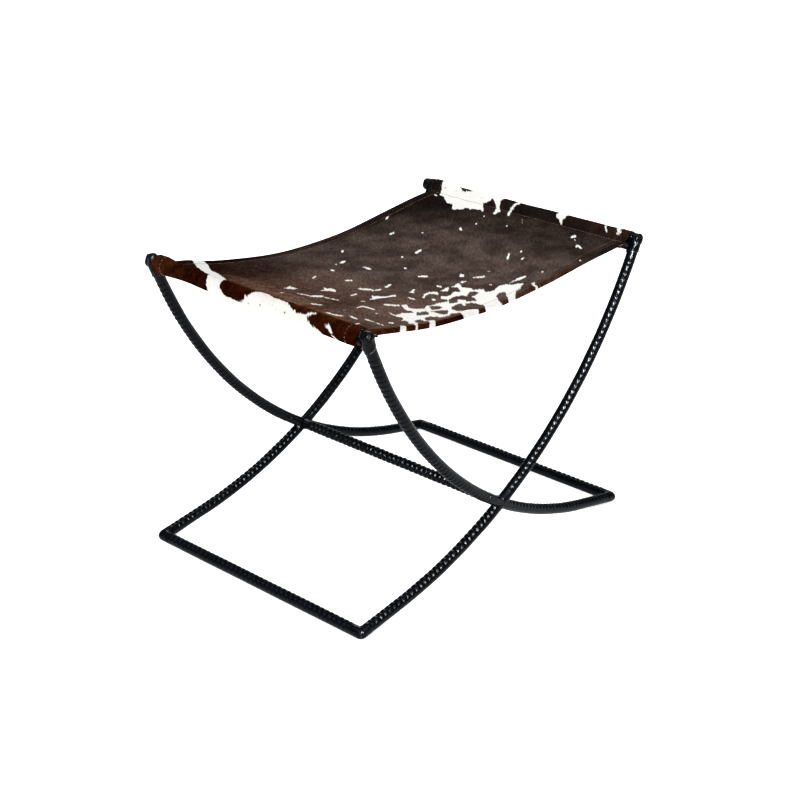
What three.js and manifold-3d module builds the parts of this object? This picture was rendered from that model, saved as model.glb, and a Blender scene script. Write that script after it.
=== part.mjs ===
// An X-frame stool. Two crossed frames of leather-covered steel rod are welded where they
// cross, and a sling of hair-on hide hangs in pockets between their two top rails.
// X runs across the span of the sling, Y along the rails and Z up. The origin is on the
// floor under the middle of the stool, which rests on its two base rails.
import * as THREE from 'three';
import { mergeVertices } from 'three/addons/utils/BufferGeometryUtils.js';
import Module from 'manifold-3d';

const wasm = await Module();
wasm.setup();

// Driving sizes of the frame, in millimetres and degrees
const railHeight = 438; // from the middle of a base rail up to the middle of a top rail
const topRailHalfSpan = 307;
const baseRailHalfSpan = 301.3;
const legPlaneHalf = 205; // from the middle of the stool to the front or rear pair of legs
const legTurnDegrees = 56.4; // how far a leg turns along its arc
const legFootStraight = 80; // the straight end of a leg beside its base corner
const rodDiameter = 12.7;
const leatherThickness = 1;
const capThickness = 1.6;
const capLength = 22;
const fitGap = 0.3; // between two pieces that touch

// Lacing: a raised band of crossed leather lace along the seam of each covered rod
const lacingThickness = 0.6;
const lacingHalfAngleDegrees = 45;
const lacingCapGap = 2;
const lacingCrossingGap = 24;
const lacingCornerGap = 20;

// The sling and its pockets
const hideThickness = 3;
const pocketSlack = 2.6; // how much wider the pocket's bore is than the rail, in radius
const pocketLeanDegrees = 60; // the pocket hangs inwards and down from its rail
const seamReach = 20; // from the middle of a rail to the seam that closes its pocket
const seamDrop = 4;
const flapLength = 12;
const slingSag = 29.5;
const slingSkew = 8; // the lowest place lies a little to the left of the middle
const slingFlatShare = 0.3;
const slingEndGap = 0.2; // more room between a pocket's end and the leg caps
const sideDraw = 5.4; // how far each side edge is drawn in at mid span
const hemWidth = 20;
const hemThickness = 2.7;
const hemStep = 1;
const threadDiameter = 1;
const threadInset = 2; // from the inner edge of the hem to its thread
const threadGap = 3; // between a hem's thread and the thread of a pocket seam

// Facets
const rodSides = 10;
const sleeveSides = 12;
const arcSteps = 18;
const bandSteps = 3;
const slingSteps = 20;
const pocketSteps = 11;
const boreSteps = 8;
const capRings = 3;
const threadSides = 6;

// Sizes that follow from the ones above
const rodRadius = rodDiameter / 2;
const boreRadius = rodRadius + fitGap;
const sleeveRadius = boreRadius + leatherThickness;
const clearRadius = sleeveRadius + fitGap; // what a covered rod needs, with its gap
const capRadius = clearRadius + capThickness;
const facetShare = Math.cos(Math.PI / sleeveSides);
const baseHeight = sleeveRadius * facetShare;
const topHeight = baseHeight + railHeight;
const lacingRadius = clearRadius + lacingThickness;
const legEndOverrun = Math.sqrt((clearRadius * facetShare - fitGap) ** 2 - rodRadius ** 2);
const cornerOverrun = 2 * sleeveRadius;
const cutSize = 3 * (railHeight + topRailHalfSpan);
const threadRadius = threadDiameter / 2;
const slingHalfWidth = legPlaneHalf - capRadius - fitGap - slingEndGap;

// A leg as seen from the front, from its top at the left, along one arc, to the straight
// foot at the right. Distance s is measured along it from the top corner.
const legSpan = topRailHalfSpan + baseRailHalfSpan;
const legTurn = THREE.MathUtils.degToRad(legTurnDegrees);
const turnRise = 1 - Math.cos(legTurn);
const turnRun = Math.sin(legTurn);
const chordSquare = turnRise ** 2 + turnRun ** 2;
const footTerm = legFootStraight * turnRun;
const reachSquare = legSpan ** 2 + railHeight ** 2 - legFootStraight ** 2;
const legRadius = (Math.sqrt(footTerm ** 2 + chordSquare * reachSquare) - footTerm) / chordSquare;
const legFootAngle = Math.atan2(railHeight, legSpan)
  - Math.atan2(legRadius * turnRise, legRadius * turnRun + legFootStraight);
const legTopAngle = legFootAngle + legTurn;
const arcLength = legRadius * legTurn;
const legLength = arcLength + legFootStraight;
const crossingAngle = Math.asin(Math.sin(legTopAngle) - topRailHalfSpan / legRadius);
const crossingLength = legRadius * (legTopAngle - crossingAngle);

function legAngle(s) {
  const onArc = THREE.MathUtils.clamp(s, 0, arcLength);
  return legTopAngle - onArc / legRadius;
}

function legPoint(s) {
  const angle = legAngle(s);
  const x = -topRailHalfSpan + legRadius * (Math.sin(legTopAngle) - Math.sin(angle));
  const z = topHeight - legRadius * (Math.cos(angle) - Math.cos(legTopAngle));
  const straight = s - THREE.MathUtils.clamp(s, 0, arcLength);
  return new THREE.Vector3(x + straight * Math.cos(angle), 0, z - straight * Math.sin(angle));
}

function legDirection(s) {
  const angle = legAngle(s);
  return new THREE.Vector3(Math.cos(angle), 0, -Math.sin(angle));
}

const crossingHeight = legPoint(crossingLength).z;

// The sweep of a leg has a section at the start and end of its arc and evenly between
const legKnots = [-legEndOverrun];
for (let i = 0; i <= arcSteps; i += 1) legKnots.push((arcLength * i) / arcSteps);
legKnots.push(legLength + cornerOverrun);
const legSteps = legKnots.length - 1;

class LegCurve extends THREE.Curve {
  getUtoTmapping(u) {
    return u;
  }

  getPoint(t, target = new THREE.Vector3()) {
    const step = Math.min(Math.floor(t * legSteps), legSteps - 1);
    const s = THREE.MathUtils.lerp(legKnots[step], legKnots[step + 1], t * legSteps - step);
    return target.copy(legPoint(s));
  }
}

// Solids: three.js geometry goes in, is joined or cut, and comes back out
function solidOf(geometry) {
  const bare = geometry.clone();
  bare.deleteAttribute('normal');
  bare.deleteAttribute('uv');
  const merged = mergeVertices(bare);
  return new wasm.Manifold(new wasm.Mesh({
    numProp: 3,
    vertProperties: new Float32Array(merged.attributes.position.array),
    triVerts: new Uint32Array(merged.index.array),
  }));
}

function geometryOf(solid) {
  const mesh = solid.getMesh();
  const geometry = new THREE.BufferGeometry();
  geometry.setAttribute('position', new THREE.BufferAttribute(mesh.vertProperties, mesh.numProp));
  geometry.setIndex(new THREE.BufferAttribute(mesh.triVerts, 1));
  return geometry;
}

// A block that takes away everything on the far side of a plane
function farSide(point, normal, gap = 0) {
  const block = new THREE.BoxGeometry(cutSize, cutSize, cutSize);
  block.translate(0, 0, cutSize / 2 + gap);
  const up = new THREE.Vector3(0, 0, 1);
  block.applyQuaternion(new THREE.Quaternion().setFromUnitVectors(up, normal));
  block.translate(point.x, point.y, point.z);
  return solidOf(block);
}

// Sections: regular polygons with a flat at the bottom, and the band of a lacing
function polygonPath(path, radius, sides) {
  for (let i = 0; i < sides; i += 1) {
    const angle = (2 * Math.PI * (i + 0.5)) / sides;
    const x = radius * Math.cos(angle);
    const y = radius * Math.sin(angle);
    if (i === 0) path.moveTo(x, y);
    else path.lineTo(x, y);
  }
  path.closePath();
  return path;
}

const rodSection = (radius) => polygonPath(new THREE.Shape(), radius, rodSides);
const sleeveSection = (radius) => polygonPath(new THREE.Shape(), radius, sleeveSides);

function tubeSection() {
  const section = sleeveSection(sleeveRadius);
  section.holes.push(polygonPath(new THREE.Path(), boreRadius, rodSides));
  return section;
}

function bandSection(middle) {
  const half = THREE.MathUtils.degToRad(lacingHalfAngleDegrees);
  const points = [];
  for (let i = 0; i <= bandSteps; i += 1) {
    const angle = middle - half + (2 * half * i) / bandSteps;
    points.push(new THREE.Vector2(Math.cos(angle), Math.sin(angle)).multiplyScalar(lacingRadius));
  }
  for (let i = bandSteps; i >= 0; i -= 1) {
    const angle = middle - half + (2 * half * i) / bandSteps;
    points.push(new THREE.Vector2(Math.cos(angle), Math.sin(angle)).multiplyScalar(clearRadius));
  }
  return new THREE.Shape(points);
}

function alongLeg(section) {
  const options = { extrudePath: new LegCurve(), steps: legSteps, bevelEnabled: false };
  return solidOf(new THREE.ExtrudeGeometry(section, options));
}

function alongRail(section, x, z, halfLength) {
  const from = new THREE.Vector3(x, -halfLength, z);
  const to = new THREE.Vector3(x, halfLength, z);
  const options = { extrudePath: new THREE.LineCurve3(from, to), steps: 1, bevelEnabled: false };
  return solidOf(new THREE.ExtrudeGeometry(section, options));
}

// A leg's section turns with it: a quarter turn points to the outside of its bend. A
// rail's section has half a turn pointing up and a quarter turn pointing left.
const legUnderside = Math.PI / 2;
const legUpperSide = -Math.PI / 2;
const railTop = Math.PI;
const railUpperLeft = (5 * Math.PI) / 6;

// The two legs of one side, front or rear. The long leg runs from the top left to the
// bottom right, and the cross leg is the same leg turned half round the upright axis.
const halfTurn = [0, 0, 180];
const sides = { front: -legPlaneHalf, rear: legPlaneHalf };

function placeLong(solid, y) {
  return solid.translate([0, y, 0]);
}

function placeCross(solid, y) {
  return solid.translate([0, -y, 0]).rotate(halfTurn);
}

// The mitre between a leg's foot and its base rail, as a plane through their corner
const cornerPoint = new THREE.Vector3(baseRailHalfSpan, 0, baseHeight);
const intoLeg = legDirection(legLength).negate();

function mitre(ySign) {
  const intoRail = new THREE.Vector3(0, -ySign, 0);
  return intoLeg.clone().sub(intoRail).normalize();
}

function mitreLeg(leg, ySign) {
  const normal = mitre(ySign);
  return leg.subtract(farSide(cornerPoint, normal.negate(), -fitGap / 2));
}

function keepLength(leg, from, to) {
  const start = farSide(legPoint(from), legDirection(from).negate());
  const end = farSide(legPoint(to), legDirection(to));
  return leg.subtract(start).subtract(end);
}

const middlePoint = new THREE.Vector3(0, 0, crossingHeight);
const towardsRight = new THREE.Vector3(1, 0, 0);
const upperHalf = (leg) => leg.subtract(farSide(middlePoint, towardsRight));
const lowerHalf = (leg) => leg.subtract(farSide(middlePoint, towardsRight.clone().negate()));

// Whole swept solids that the pieces are cut from, or cut with
const legRod = alongLeg(rodSection(rodRadius));
const legBore = alongLeg(rodSection(boreRadius));
const legRoom = alongLeg(sleeveSection(clearRadius));
const legTop = farSide(legPoint(0), legDirection(0).negate());
const legTube = alongLeg(tubeSection()).subtract(legTop);

const black = { color: 0x15181c, roughness: 0.42, metalness: 0 };
const steel = new THREE.MeshStandardMaterial({ color: 0x4b4d50, roughness: 0.5, metalness: 0.9 });
const leather = new THREE.MeshStandardMaterial(black);
const lace = new THREE.MeshStandardMaterial({ ...black, color: 0x0e1013, roughness: 0.36 });
const hide = new THREE.MeshStandardMaterial({ color: 0x463a34, roughness: 0.8, metalness: 0 });
const tan = new THREE.MeshStandardMaterial({ color: 0x9c7b5a, roughness: 0.7, metalness: 0 });

const group = new THREE.Group();

function addMesh(name, geometry, material) {
  const mesh = new THREE.Mesh(geometry, material);
  mesh.name = name;
  group.add(mesh);
}

function addSolid(name, solid, material) {
  addMesh(name, geometryOf(solid), material);
}

// Rails: top rails butt against the legs' ends, the stretcher joins the two crossings,
// and the base rails are mitred to the legs' feet
const stretcherBore = alongRail(rodSection(boreRadius), 0, crossingHeight, legPlaneHalf);
const stretcherTube = alongRail(tubeSection(), 0, crossingHeight, legPlaneHalf);
const stretcherRod = alongRail(rodSection(rodRadius), 0, crossingHeight, legPlaneHalf);

function topRail(x, radius) {
  return alongRail(rodSection(radius), x, topHeight, legPlaneHalf);
}

function clearOfLegs(solid, leg) {
  let left = solid;
  for (const y of Object.values(sides)) {
    left = left.subtract(placeLong(leg, y)).subtract(placeCross(leg, y));
  }
  return left;
}

function baseRail(section, xSign) {
  const halfLength = legPlaneHalf + cornerOverrun;
  let rail = alongRail(section, xSign * baseRailHalfSpan, baseHeight, halfLength);
  for (const y of Object.values(sides)) {
    const normal = mitre(xSign * Math.sign(y));
    const end = farSide(cornerPoint, normal, -fitGap / 2);
    rail = rail.subtract(xSign > 0 ? placeLong(end, y) : placeCross(end, y));
  }
  return rail;
}

addSolid('left_top_rail', clearOfLegs(topRail(-topRailHalfSpan, rodRadius), legBore), steel);
addSolid('right_top_rail', clearOfLegs(topRail(topRailHalfSpan, rodRadius), legBore), steel);
addSolid('left_base_rail', baseRail(rodSection(rodRadius), -1), steel);
addSolid('right_base_rail', baseRail(rodSection(rodRadius), 1), steel);
addSolid('stretcher_rod', clearOfLegs(stretcherRod, legBore), steel);
addSolid('left_base_rail_leather', baseRail(tubeSection(), -1), leather);
addSolid('right_base_rail_leather', baseRail(tubeSection(), 1), leather);
addSolid('stretcher_leather', clearOfLegs(stretcherTube, legRoom), leather);

// Lacing of the rails, on top of the base rails and high on the left of the stretcher
const railLacingHalf = legPlaneHalf - lacingCornerGap;
const stretcherLacingHalf = legPlaneHalf - lacingCrossingGap;

function railLacing(x, z, middle, halfLength) {
  return alongRail(bandSection(middle), x, z, halfLength);
}

const leftBase = railLacing(-baseRailHalfSpan, baseHeight, railTop, railLacingHalf);
const rightBase = railLacing(baseRailHalfSpan, baseHeight, railTop, railLacingHalf);
const stretcherBand = railLacing(0, crossingHeight, railUpperLeft, stretcherLacingHalf);
addSolid('left_base_rail_lacing', leftBase, lace);
addSolid('right_base_rail_lacing', rightBase, lace);
addSolid('stretcher_lacing', stretcherBand, lace);

// Lacing of the legs: under the upper half of a leg, and on top of its lower half
const upperLacing = keepLength(
  alongLeg(bandSection(legUnderside)),
  capLength + lacingCapGap,
  crossingLength - lacingCrossingGap,
);
const lowerLacing = keepLength(
  alongLeg(bandSection(legUpperSide)),
  crossingLength + lacingCrossingGap,
  legLength - lacingCornerGap,
);

// A leather cap closes the end of each leg, with a hole for the top rail's rod. It is a
// straight shell with a round end, bored along the leg that it fits over.
function capDome(radius, skirt) {
  const profile = [new THREE.Vector2(0, -skirt), new THREE.Vector2(radius, -skirt)];
  for (let i = 0; i < capRings; i += 1) {
    const angle = (Math.PI * i) / (2 * capRings);
    profile.push(new THREE.Vector2(radius * Math.cos(angle), radius * Math.sin(angle)));
  }
  profile.push(new THREE.Vector2(0, radius));
  const dome = new THREE.LatheGeometry(profile, sleeveSides, Math.PI / sleeveSides);
  dome.rotateZ(Math.PI / 2);
  dome.rotateY(legTopAngle);
  const top = legPoint(0);
  dome.translate(top.x, top.y, top.z);
  return solidOf(dome);
}

const cap = capDome(capRadius, capLength)
  .subtract(legRoom.subtract(legTop))
  .subtract(capDome(clearRadius, fitGap));
const railHoles = topRail(-topRailHalfSpan, boreRadius).add(topRail(topRailHalfSpan, boreRadius));

for (const [side, y] of Object.entries(sides)) {
  const ySign = Math.sign(y);
  const longTube = placeLong(mitreLeg(legTube, ySign), y);
  const crossTube = mitreLeg(legTube, -ySign);
  const crossRod = mitreLeg(legRod, -ySign);
  const longBore = placeLong(legBore, y);
  const longRoom = placeLong(legRoom, y);
  const crossBore = placeCross(legBore, y);

  addSolid(`${side}_long_leg_rod`, placeLong(mitreLeg(legRod, ySign), y), steel);
  const openTube = longTube.subtract(crossBore).subtract(stretcherBore).subtract(railHoles);
  addSolid(`${side}_long_leg_leather`, openTube, leather);
  const halves = { upper: upperHalf, lower: lowerHalf };
  for (const [half, keep] of Object.entries(halves)) {
    const rod = placeCross(keep(crossRod), y).subtract(longBore);
    const tube = placeCross(keep(crossTube), y).subtract(longRoom).subtract(stretcherBore);
    addSolid(`${side}_cross_leg_${half}_rod`, rod, steel);
    addSolid(`${side}_cross_leg_${half}_leather`, tube.subtract(railHoles), leather);
  }
  addSolid(`${side}_long_leg_upper_lacing`, placeLong(upperLacing, y), lace);
  addSolid(`${side}_long_leg_lower_lacing`, placeLong(lowerLacing, y), lace);
  addSolid(`${side}_cross_leg_upper_lacing`, placeCross(upperLacing, y), lace);
  addSolid(`${side}_cross_leg_lower_lacing`, placeCross(lowerLacing, y), lace);
  addSolid(`${side}_left_leg_cap`, placeLong(cap, y).subtract(railHoles), leather);
  addSolid(`${side}_right_leg_cap`, placeCross(cap, y).subtract(railHoles), leather);
}

// The sling, in section across the span. Its middle surface runs between the two seams.
const seamHalfSpan = topRailHalfSpan - Math.sqrt(seamReach ** 2 - seamDrop ** 2);
const seamHeight = topHeight - seamDrop;
const pocketBore = boreRadius + pocketSlack;
const pocketRadius = pocketBore + hideThickness;
const pocketLean = THREE.MathUtils.degToRad(pocketLeanDegrees);
const pocketX = topRailHalfSpan - pocketSlack * Math.cos(pocketLean);
const pocketZ = topHeight - pocketSlack * Math.sin(pocketLean);
const flapHalfSpan = seamHalfSpan - flapLength;

function slingHeight(x) {
  const share = x / seamHalfSpan;
  const square = share ** 2;
  const rise = (square - slingFlatShare * square ** 2) / (1 - slingFlatShare);
  return seamHeight - slingSag * (1 - rise) + slingSkew * (share - share ** 3);
}

function sideEdge(x) {
  const share = THREE.MathUtils.clamp(x / seamHalfSpan, -1, 1);
  return slingHalfWidth - sideDraw * (1 - share ** 2) ** 2;
}

// Points of the pocket's round outline, from one tangent point to the other, on the
// right. Both tangents meet at the seam.
function pocketArc(radius, upperZ, lowerZ, steps) {
  const angleTo = (z, side) => {
    const away = Math.hypot(seamHalfSpan - pocketX, z - pocketZ);
    const towards = Math.atan2(z - pocketZ, seamHalfSpan - pocketX);
    return towards + side * Math.acos(radius / away);
  };
  const from = angleTo(upperZ, -1);
  const to = angleTo(lowerZ, 1);
  const sweep = THREE.MathUtils.euclideanModulo(from - to, 2 * Math.PI);
  const points = [];
  for (let i = 0; i <= steps; i += 1) {
    const angle = from - (sweep * i) / steps;
    const x = pocketX + radius * Math.cos(angle);
    points.push(new THREE.Vector2(x, pocketZ + radius * Math.sin(angle)));
  }
  return points;
}

const mirrored = (points) => points.map((p) => new THREE.Vector2(-p.x, p.y)).reverse();

function slingLine(halfSpan, drop, steps) {
  const points = [];
  for (let i = 0; i <= steps; i += 1) {
    const x = halfSpan * ((2 * i) / steps - 1);
    points.push(new THREE.Vector2(x, slingHeight(x) - drop));
  }
  return points;
}

function slingSection() {
  const half = hideThickness / 2;
  const top = seamHeight + half;
  const bottom = seamHeight - half - hideThickness;
  const outer = pocketArc(pocketRadius, top, bottom, pocketSteps);
  const flap = [
    new THREE.Vector2(seamHalfSpan, bottom),
    new THREE.Vector2(flapHalfSpan, slingHeight(flapHalfSpan) - half - hideThickness),
  ];
  const leftFlap = [
    new THREE.Vector2(-flapHalfSpan, slingHeight(-flapHalfSpan) - half - hideThickness),
    new THREE.Vector2(-seamHalfSpan, bottom),
  ];
  const under = slingLine(flapHalfSpan, half, slingSteps - 2).reverse();
  const over = slingLine(seamHalfSpan, -half, slingSteps);
  const outline = [...over, ...outer, ...flap, ...under, ...leftFlap, ...mirrored(outer)];
  const shape = new THREE.Shape(outline.reverse());
  const crotch = new THREE.Vector2(seamHalfSpan, seamHeight - half);
  const bore = [...pocketArc(pocketBore, crotch.y, crotch.y, boreSteps), crotch];
  shape.holes.push(new THREE.Path(bore), new THREE.Path(mirrored(bore)));
  return shape;
}

// The section is drawn out along Y in rows. The outer rows carry the hem, which is folded
// under the sling, and every row follows the drawn-in side edges.
function sling() {
  const hemInner = slingHalfWidth - hemWidth;
  const near = hideThickness / 4;
  const halfRows = [hemInner - hemStep, hemInner, slingHalfWidth];
  const rows = [...halfRows.map((y) => -y).reverse(), ...halfRows];
  const steps = rows.length - 1;
  const options = { depth: steps, steps, bevelEnabled: false };
  const geometry = new THREE.ExtrudeGeometry(slingSection(), options);
  geometry.rotateX(Math.PI / 2);
  const position = geometry.attributes.position;
  for (let i = 0; i < position.count; i += 1) {
    const x = position.getX(i);
    const z = position.getZ(i);
    const row = rows[Math.round(-position.getY(i))];
    const inHem = Math.abs(row) >= hemInner;
    const betweenFlaps = Math.abs(x) < flapHalfSpan + near;
    const onUnderside = Math.abs(z - slingHeight(x) + hideThickness / 2) < near;
    position.setY(i, -row * (sideEdge(x) / slingHalfWidth));
    if (inHem && betweenFlaps && onUnderside) position.setZ(i, z - hemThickness);
  }
  return solidOf(geometry);
}

addSolid('seat_hide', sling(), hide);

// Thread: two hem threads along the side edges and one along each pocket's seam
function threadSection() {
  return polygonPath(new THREE.Shape(), threadRadius, threadSides);
}

const threadLift = hideThickness / 2 + fitGap + threadRadius;

class HemCurve extends THREE.Curve {
  constructor(ySign) {
    super();
    this.ySign = ySign;
  }

  getPoint(t, target = new THREE.Vector3()) {
    const x = (2 * t - 1) * (seamHalfSpan - threadGap);
    const y = sideEdge(x) - hemWidth + threadInset;
    return target.set(x, this.ySign * y, slingHeight(x) + threadLift);
  }
}

for (const [side, y] of Object.entries(sides)) {
  const path = new HemCurve(Math.sign(y));
  const options = { extrudePath: path, steps: slingSteps, bevelEnabled: false };
  addMesh(`${side}_hem_thread`, new THREE.ExtrudeGeometry(threadSection(), options), tan);
}

for (const [side, xSign] of [['left', -1], ['right', 1]]) {
  const half = slingHalfWidth - threadInset;
  const thread = alongRail(threadSection(), xSign * seamHalfSpan, seamHeight + threadLift, half);
  addSolid(`${side}_pocket_thread`, thread, tan);
}

export default group;
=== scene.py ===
import math

import bmesh
import bpy
import numpy as np
from mathutils import Matrix, Vector


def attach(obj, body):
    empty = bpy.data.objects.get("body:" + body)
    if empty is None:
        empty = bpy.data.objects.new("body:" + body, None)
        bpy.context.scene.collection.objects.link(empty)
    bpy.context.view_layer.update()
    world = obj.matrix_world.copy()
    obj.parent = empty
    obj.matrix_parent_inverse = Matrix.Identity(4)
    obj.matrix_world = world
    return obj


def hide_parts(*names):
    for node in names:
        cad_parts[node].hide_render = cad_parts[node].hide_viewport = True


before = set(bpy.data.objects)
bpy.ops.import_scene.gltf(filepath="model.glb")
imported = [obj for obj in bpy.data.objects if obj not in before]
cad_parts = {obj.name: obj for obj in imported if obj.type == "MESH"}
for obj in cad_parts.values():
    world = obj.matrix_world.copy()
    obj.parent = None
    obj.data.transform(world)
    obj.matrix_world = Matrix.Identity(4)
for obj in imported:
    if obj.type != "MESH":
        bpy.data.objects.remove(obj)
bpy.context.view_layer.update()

# The stool's sizes are in millimetres until a mesh is made, and MM turns them into metres
MM = 0.001
BODY = "root"

# The frame, as the bare stool has it
RAIL_HEIGHT = 438.0
TOP_HALF_SPAN = 307.0
BASE_HALF_SPAN = 301.3
LEG_PLANE_HALF = 205.0
LEG_TURN = math.radians(56.4)
FOOT_STRAIGHT = 80.0
ROD_RADIUS = 6.35
FIT_GAP = 0.3
LEATHER_THICKNESS = 1.0
BORE_RADIUS = ROD_RADIUS + FIT_GAP
SLEEVE_RADIUS = BORE_RADIUS + LEATHER_THICKNESS
BASE_HEIGHT = SLEEVE_RADIUS * math.cos(math.pi / 12)
TOP_HEIGHT = BASE_HEIGHT + RAIL_HEIGHT

# A leg seen from the front runs from its top left along one arc to a straight foot
LEG_SPAN = TOP_HALF_SPAN + BASE_HALF_SPAN
TURN_RISE = 1 - math.cos(LEG_TURN)
TURN_RUN = math.sin(LEG_TURN)
CHORD_SQUARE = TURN_RISE ** 2 + TURN_RUN ** 2
FOOT_TERM = FOOT_STRAIGHT * TURN_RUN
REACH_SQUARE = LEG_SPAN ** 2 + RAIL_HEIGHT ** 2 - FOOT_STRAIGHT ** 2
LEG_RADIUS = (math.sqrt(FOOT_TERM ** 2 + CHORD_SQUARE * REACH_SQUARE) - FOOT_TERM) / CHORD_SQUARE
FOOT_ANGLE = (math.atan2(RAIL_HEIGHT, LEG_SPAN)
              - math.atan2(LEG_RADIUS * TURN_RISE, LEG_RADIUS * TURN_RUN + FOOT_STRAIGHT))
TOP_ANGLE = FOOT_ANGLE + LEG_TURN
ARC_LENGTH = LEG_RADIUS * LEG_TURN
LEG_LENGTH = ARC_LENGTH + FOOT_STRAIGHT
CROSSING_ANGLE = math.asin(math.sin(TOP_ANGLE) - TOP_HALF_SPAN / LEG_RADIUS)
CROSSING_LENGTH = LEG_RADIUS * (TOP_ANGLE - CROSSING_ANGLE)


def smooth_step(share):
    share = np.clip(share, 0, 1)
    return share * share * (3 - 2 * share)


def ramp(value, start, width):
    """Zero up to the start, one from a width further on, and a smooth rise between."""
    return smooth_step((value - start) / width)


def hill(value, middle, width):
    """One at the middle, falling evenly to nothing on both sides."""
    return np.exp(-((value - middle) / width) ** 2)


def xyz(x, y, z):
    return np.stack(np.broadcast_arrays(x, y, z), -1)


def leg_line(s):
    """X, Z and slope of a leg's middle line at the distance s from its top."""
    s = np.asarray(s, float)
    on_arc = np.clip(s, 0, ARC_LENGTH)
    angle = TOP_ANGLE - on_arc / LEG_RADIUS
    straight = s - on_arc
    x = -TOP_HALF_SPAN + LEG_RADIUS * (math.sin(TOP_ANGLE) - np.sin(angle))
    z = TOP_HEIGHT - LEG_RADIUS * (np.cos(angle) - math.cos(TOP_ANGLE))
    return x + straight * np.cos(angle), z - straight * np.sin(angle), angle


CROSSING_HEIGHT = float(leg_line(CROSSING_LENGTH)[1])


def on_leg(s, turn, radius):
    """Points round a leg. A turn of zero is the upper side, a quarter turn is +Y."""
    x, z, angle = leg_line(s)
    up = radius * np.cos(turn)
    return xyz(x + up * np.sin(angle), radius * np.sin(turn), z + up * np.cos(angle))


def place_leg(points, cross, y):
    """A long leg stays as drawn, a cross leg is turned half round the upright axis."""
    way = -1 if cross else 1
    return points * (way, way, 1) + (0, y, 0)


# Making meshes
def grid_quads(rows, sides, first=0):
    """Faces between rows of points, each row a closed ring."""
    start = first + np.arange(rows - 1)[:, None] * sides
    here = start + np.arange(sides)
    following = start + (np.arange(sides) + 1) % sides
    return np.stack([here, following, following + sides, here + sides], -1).reshape(-1, 4).tolist()


def ring_band(here, there, sides):
    """Faces between two rings of points that start at these numbers."""
    turned = [(k + 1) % sides for k in range(sides)]
    return [[here + k, here + turned[k], there + turned[k], there + k] for k in range(sides)]


def add_object(name, data):
    made = bpy.data.objects.new(name, data)
    bpy.context.scene.collection.objects.link(made)
    return made


def smooth_object(name, mesh, material):
    mesh.name = name
    mesh.materials.clear()
    mesh.materials.append(material)
    mesh.polygons.foreach_set("use_smooth", [True] * len(mesh.polygons))
    return add_object(name, mesh)


def mesh_object(name, points, faces, material, merge=0.0):
    """A closed piece from points in millimetres. Points nearer than merge become one."""
    mesh = bpy.data.meshes.new(name)
    mesh.from_pydata((np.asarray(points) * MM).tolist(), [], faces)
    shell = bmesh.new()
    shell.from_mesh(mesh)
    if merge:
        bmesh.ops.remove_doubles(shell, verts=shell.verts, dist=merge)
    bmesh.ops.recalc_face_normals(shell, faces=shell.faces)
    shell.to_mesh(mesh)
    shell.free()
    return smooth_object(name, mesh, material)


def applied(carrier):
    """A plain mesh of what an object's modifiers make. The object itself is taken away."""
    graph = bpy.context.evaluated_depsgraph_get()
    mesh = bpy.data.meshes.new_from_object(carrier.evaluated_get(graph), depsgraph=graph)
    bpy.data.objects.remove(carrier)
    return mesh


def tube(name, outer, inner, depth, material):
    """A closed sleeve from the rings of its outside and the rings of its bore. depth says
    how deep each point of the outside lies in a crease, from zero to one."""
    rows, sides = outer.shape[:2]
    bore_rows = inner.shape[0]
    first = rows * sides
    faces = grid_quads(rows, sides) + grid_quads(bore_rows, sides, first)
    faces += ring_band(0, first, sides)
    faces += ring_band((rows - 1) * sides, first + (bore_rows - 1) * sides, sides)
    points = np.concatenate([outer.reshape(-1, 3), inner.reshape(-1, 3)])
    piece = mesh_object(name, points, faces, material)
    add_number(piece.data, "crease", np.concatenate([depth.ravel(), np.zeros(bore_rows * sides)]))
    return piece


def add_number(mesh, name, values):
    attribute = mesh.attributes.new(name, "FLOAT", "POINT")
    attribute.data.foreach_set("value", values.astype(np.float32))


def values_of(items, name, size=1, kind=float):
    """One property of all the items of a mesh, each with this many numbers."""
    values = np.empty(len(items) * size, kind)
    items.foreach_get(name, values)
    return values if size == 1 else values.reshape(-1, size)


def dress(piece, slot, *nodes):
    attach(piece, BODY)
    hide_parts(*nodes)
    return piece


# Materials
def wire(tree, made, given):
    """Fills a node's inputs: a socket is linked, anything else is set on the input itself."""
    for key, value in given.items():
        if isinstance(value, bpy.types.NodeSocket):
            tree.links.new(value, made.inputs[key])
        else:
            made.inputs[key].default_value = value


def node(tree, kind, given=None, **settings):
    made = tree.nodes.new(kind)
    for key, value in settings.items():
        setattr(made, key, value)
    wire(tree, made, given or {})
    return made


def result(tree, kind, given=None, socket=0, **settings):
    return node(tree, kind, given, **settings).outputs[socket]


def new_material(name):
    material = bpy.data.materials.new(name)
    material.use_nodes = True
    tree = material.node_tree
    return material, tree, tree.nodes["Principled BSDF"]


def object_place(tree):
    return result(tree, "ShaderNodeTexCoord", socket="Object")


def flat_place(tree):
    return result(tree, "ShaderNodeUVMap", uv_map="flat")


def point_value(tree, name):
    return result(tree, "ShaderNodeAttribute", socket="Fac", attribute_name=name)


def noise(tree, vector, scale, detail=3.0, roughness=0.5, distortion=0.0):
    return result(tree, "ShaderNodeTexNoise", {"Vector": vector, "Scale": scale, "Detail": detail,
                                               "Roughness": roughness, "Distortion": distortion}, "Fac")


def stretch(tree, vector, lengths, turn=(0, 0, 0)):
    """The pattern's features get these lengths in metres, along axes turned by turn."""
    given = {"Vector": vector, "Scale": lengths, "Rotation": turn}
    return result(tree, "ShaderNodeMapping", given, vector_type="TEXTURE")


def remap(tree, value, low, high, to_low=0.0, to_high=1.0):
    given = {"Value": value, "From Min": low, "From Max": high, "To Min": to_low, "To Max": to_high}
    return result(tree, "ShaderNodeMapRange", given, interpolation_type="SMOOTHSTEP")


def calc(tree, operation, first, second):
    return result(tree, "ShaderNodeMath", {0: first, 1: second}, operation=operation)


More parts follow.
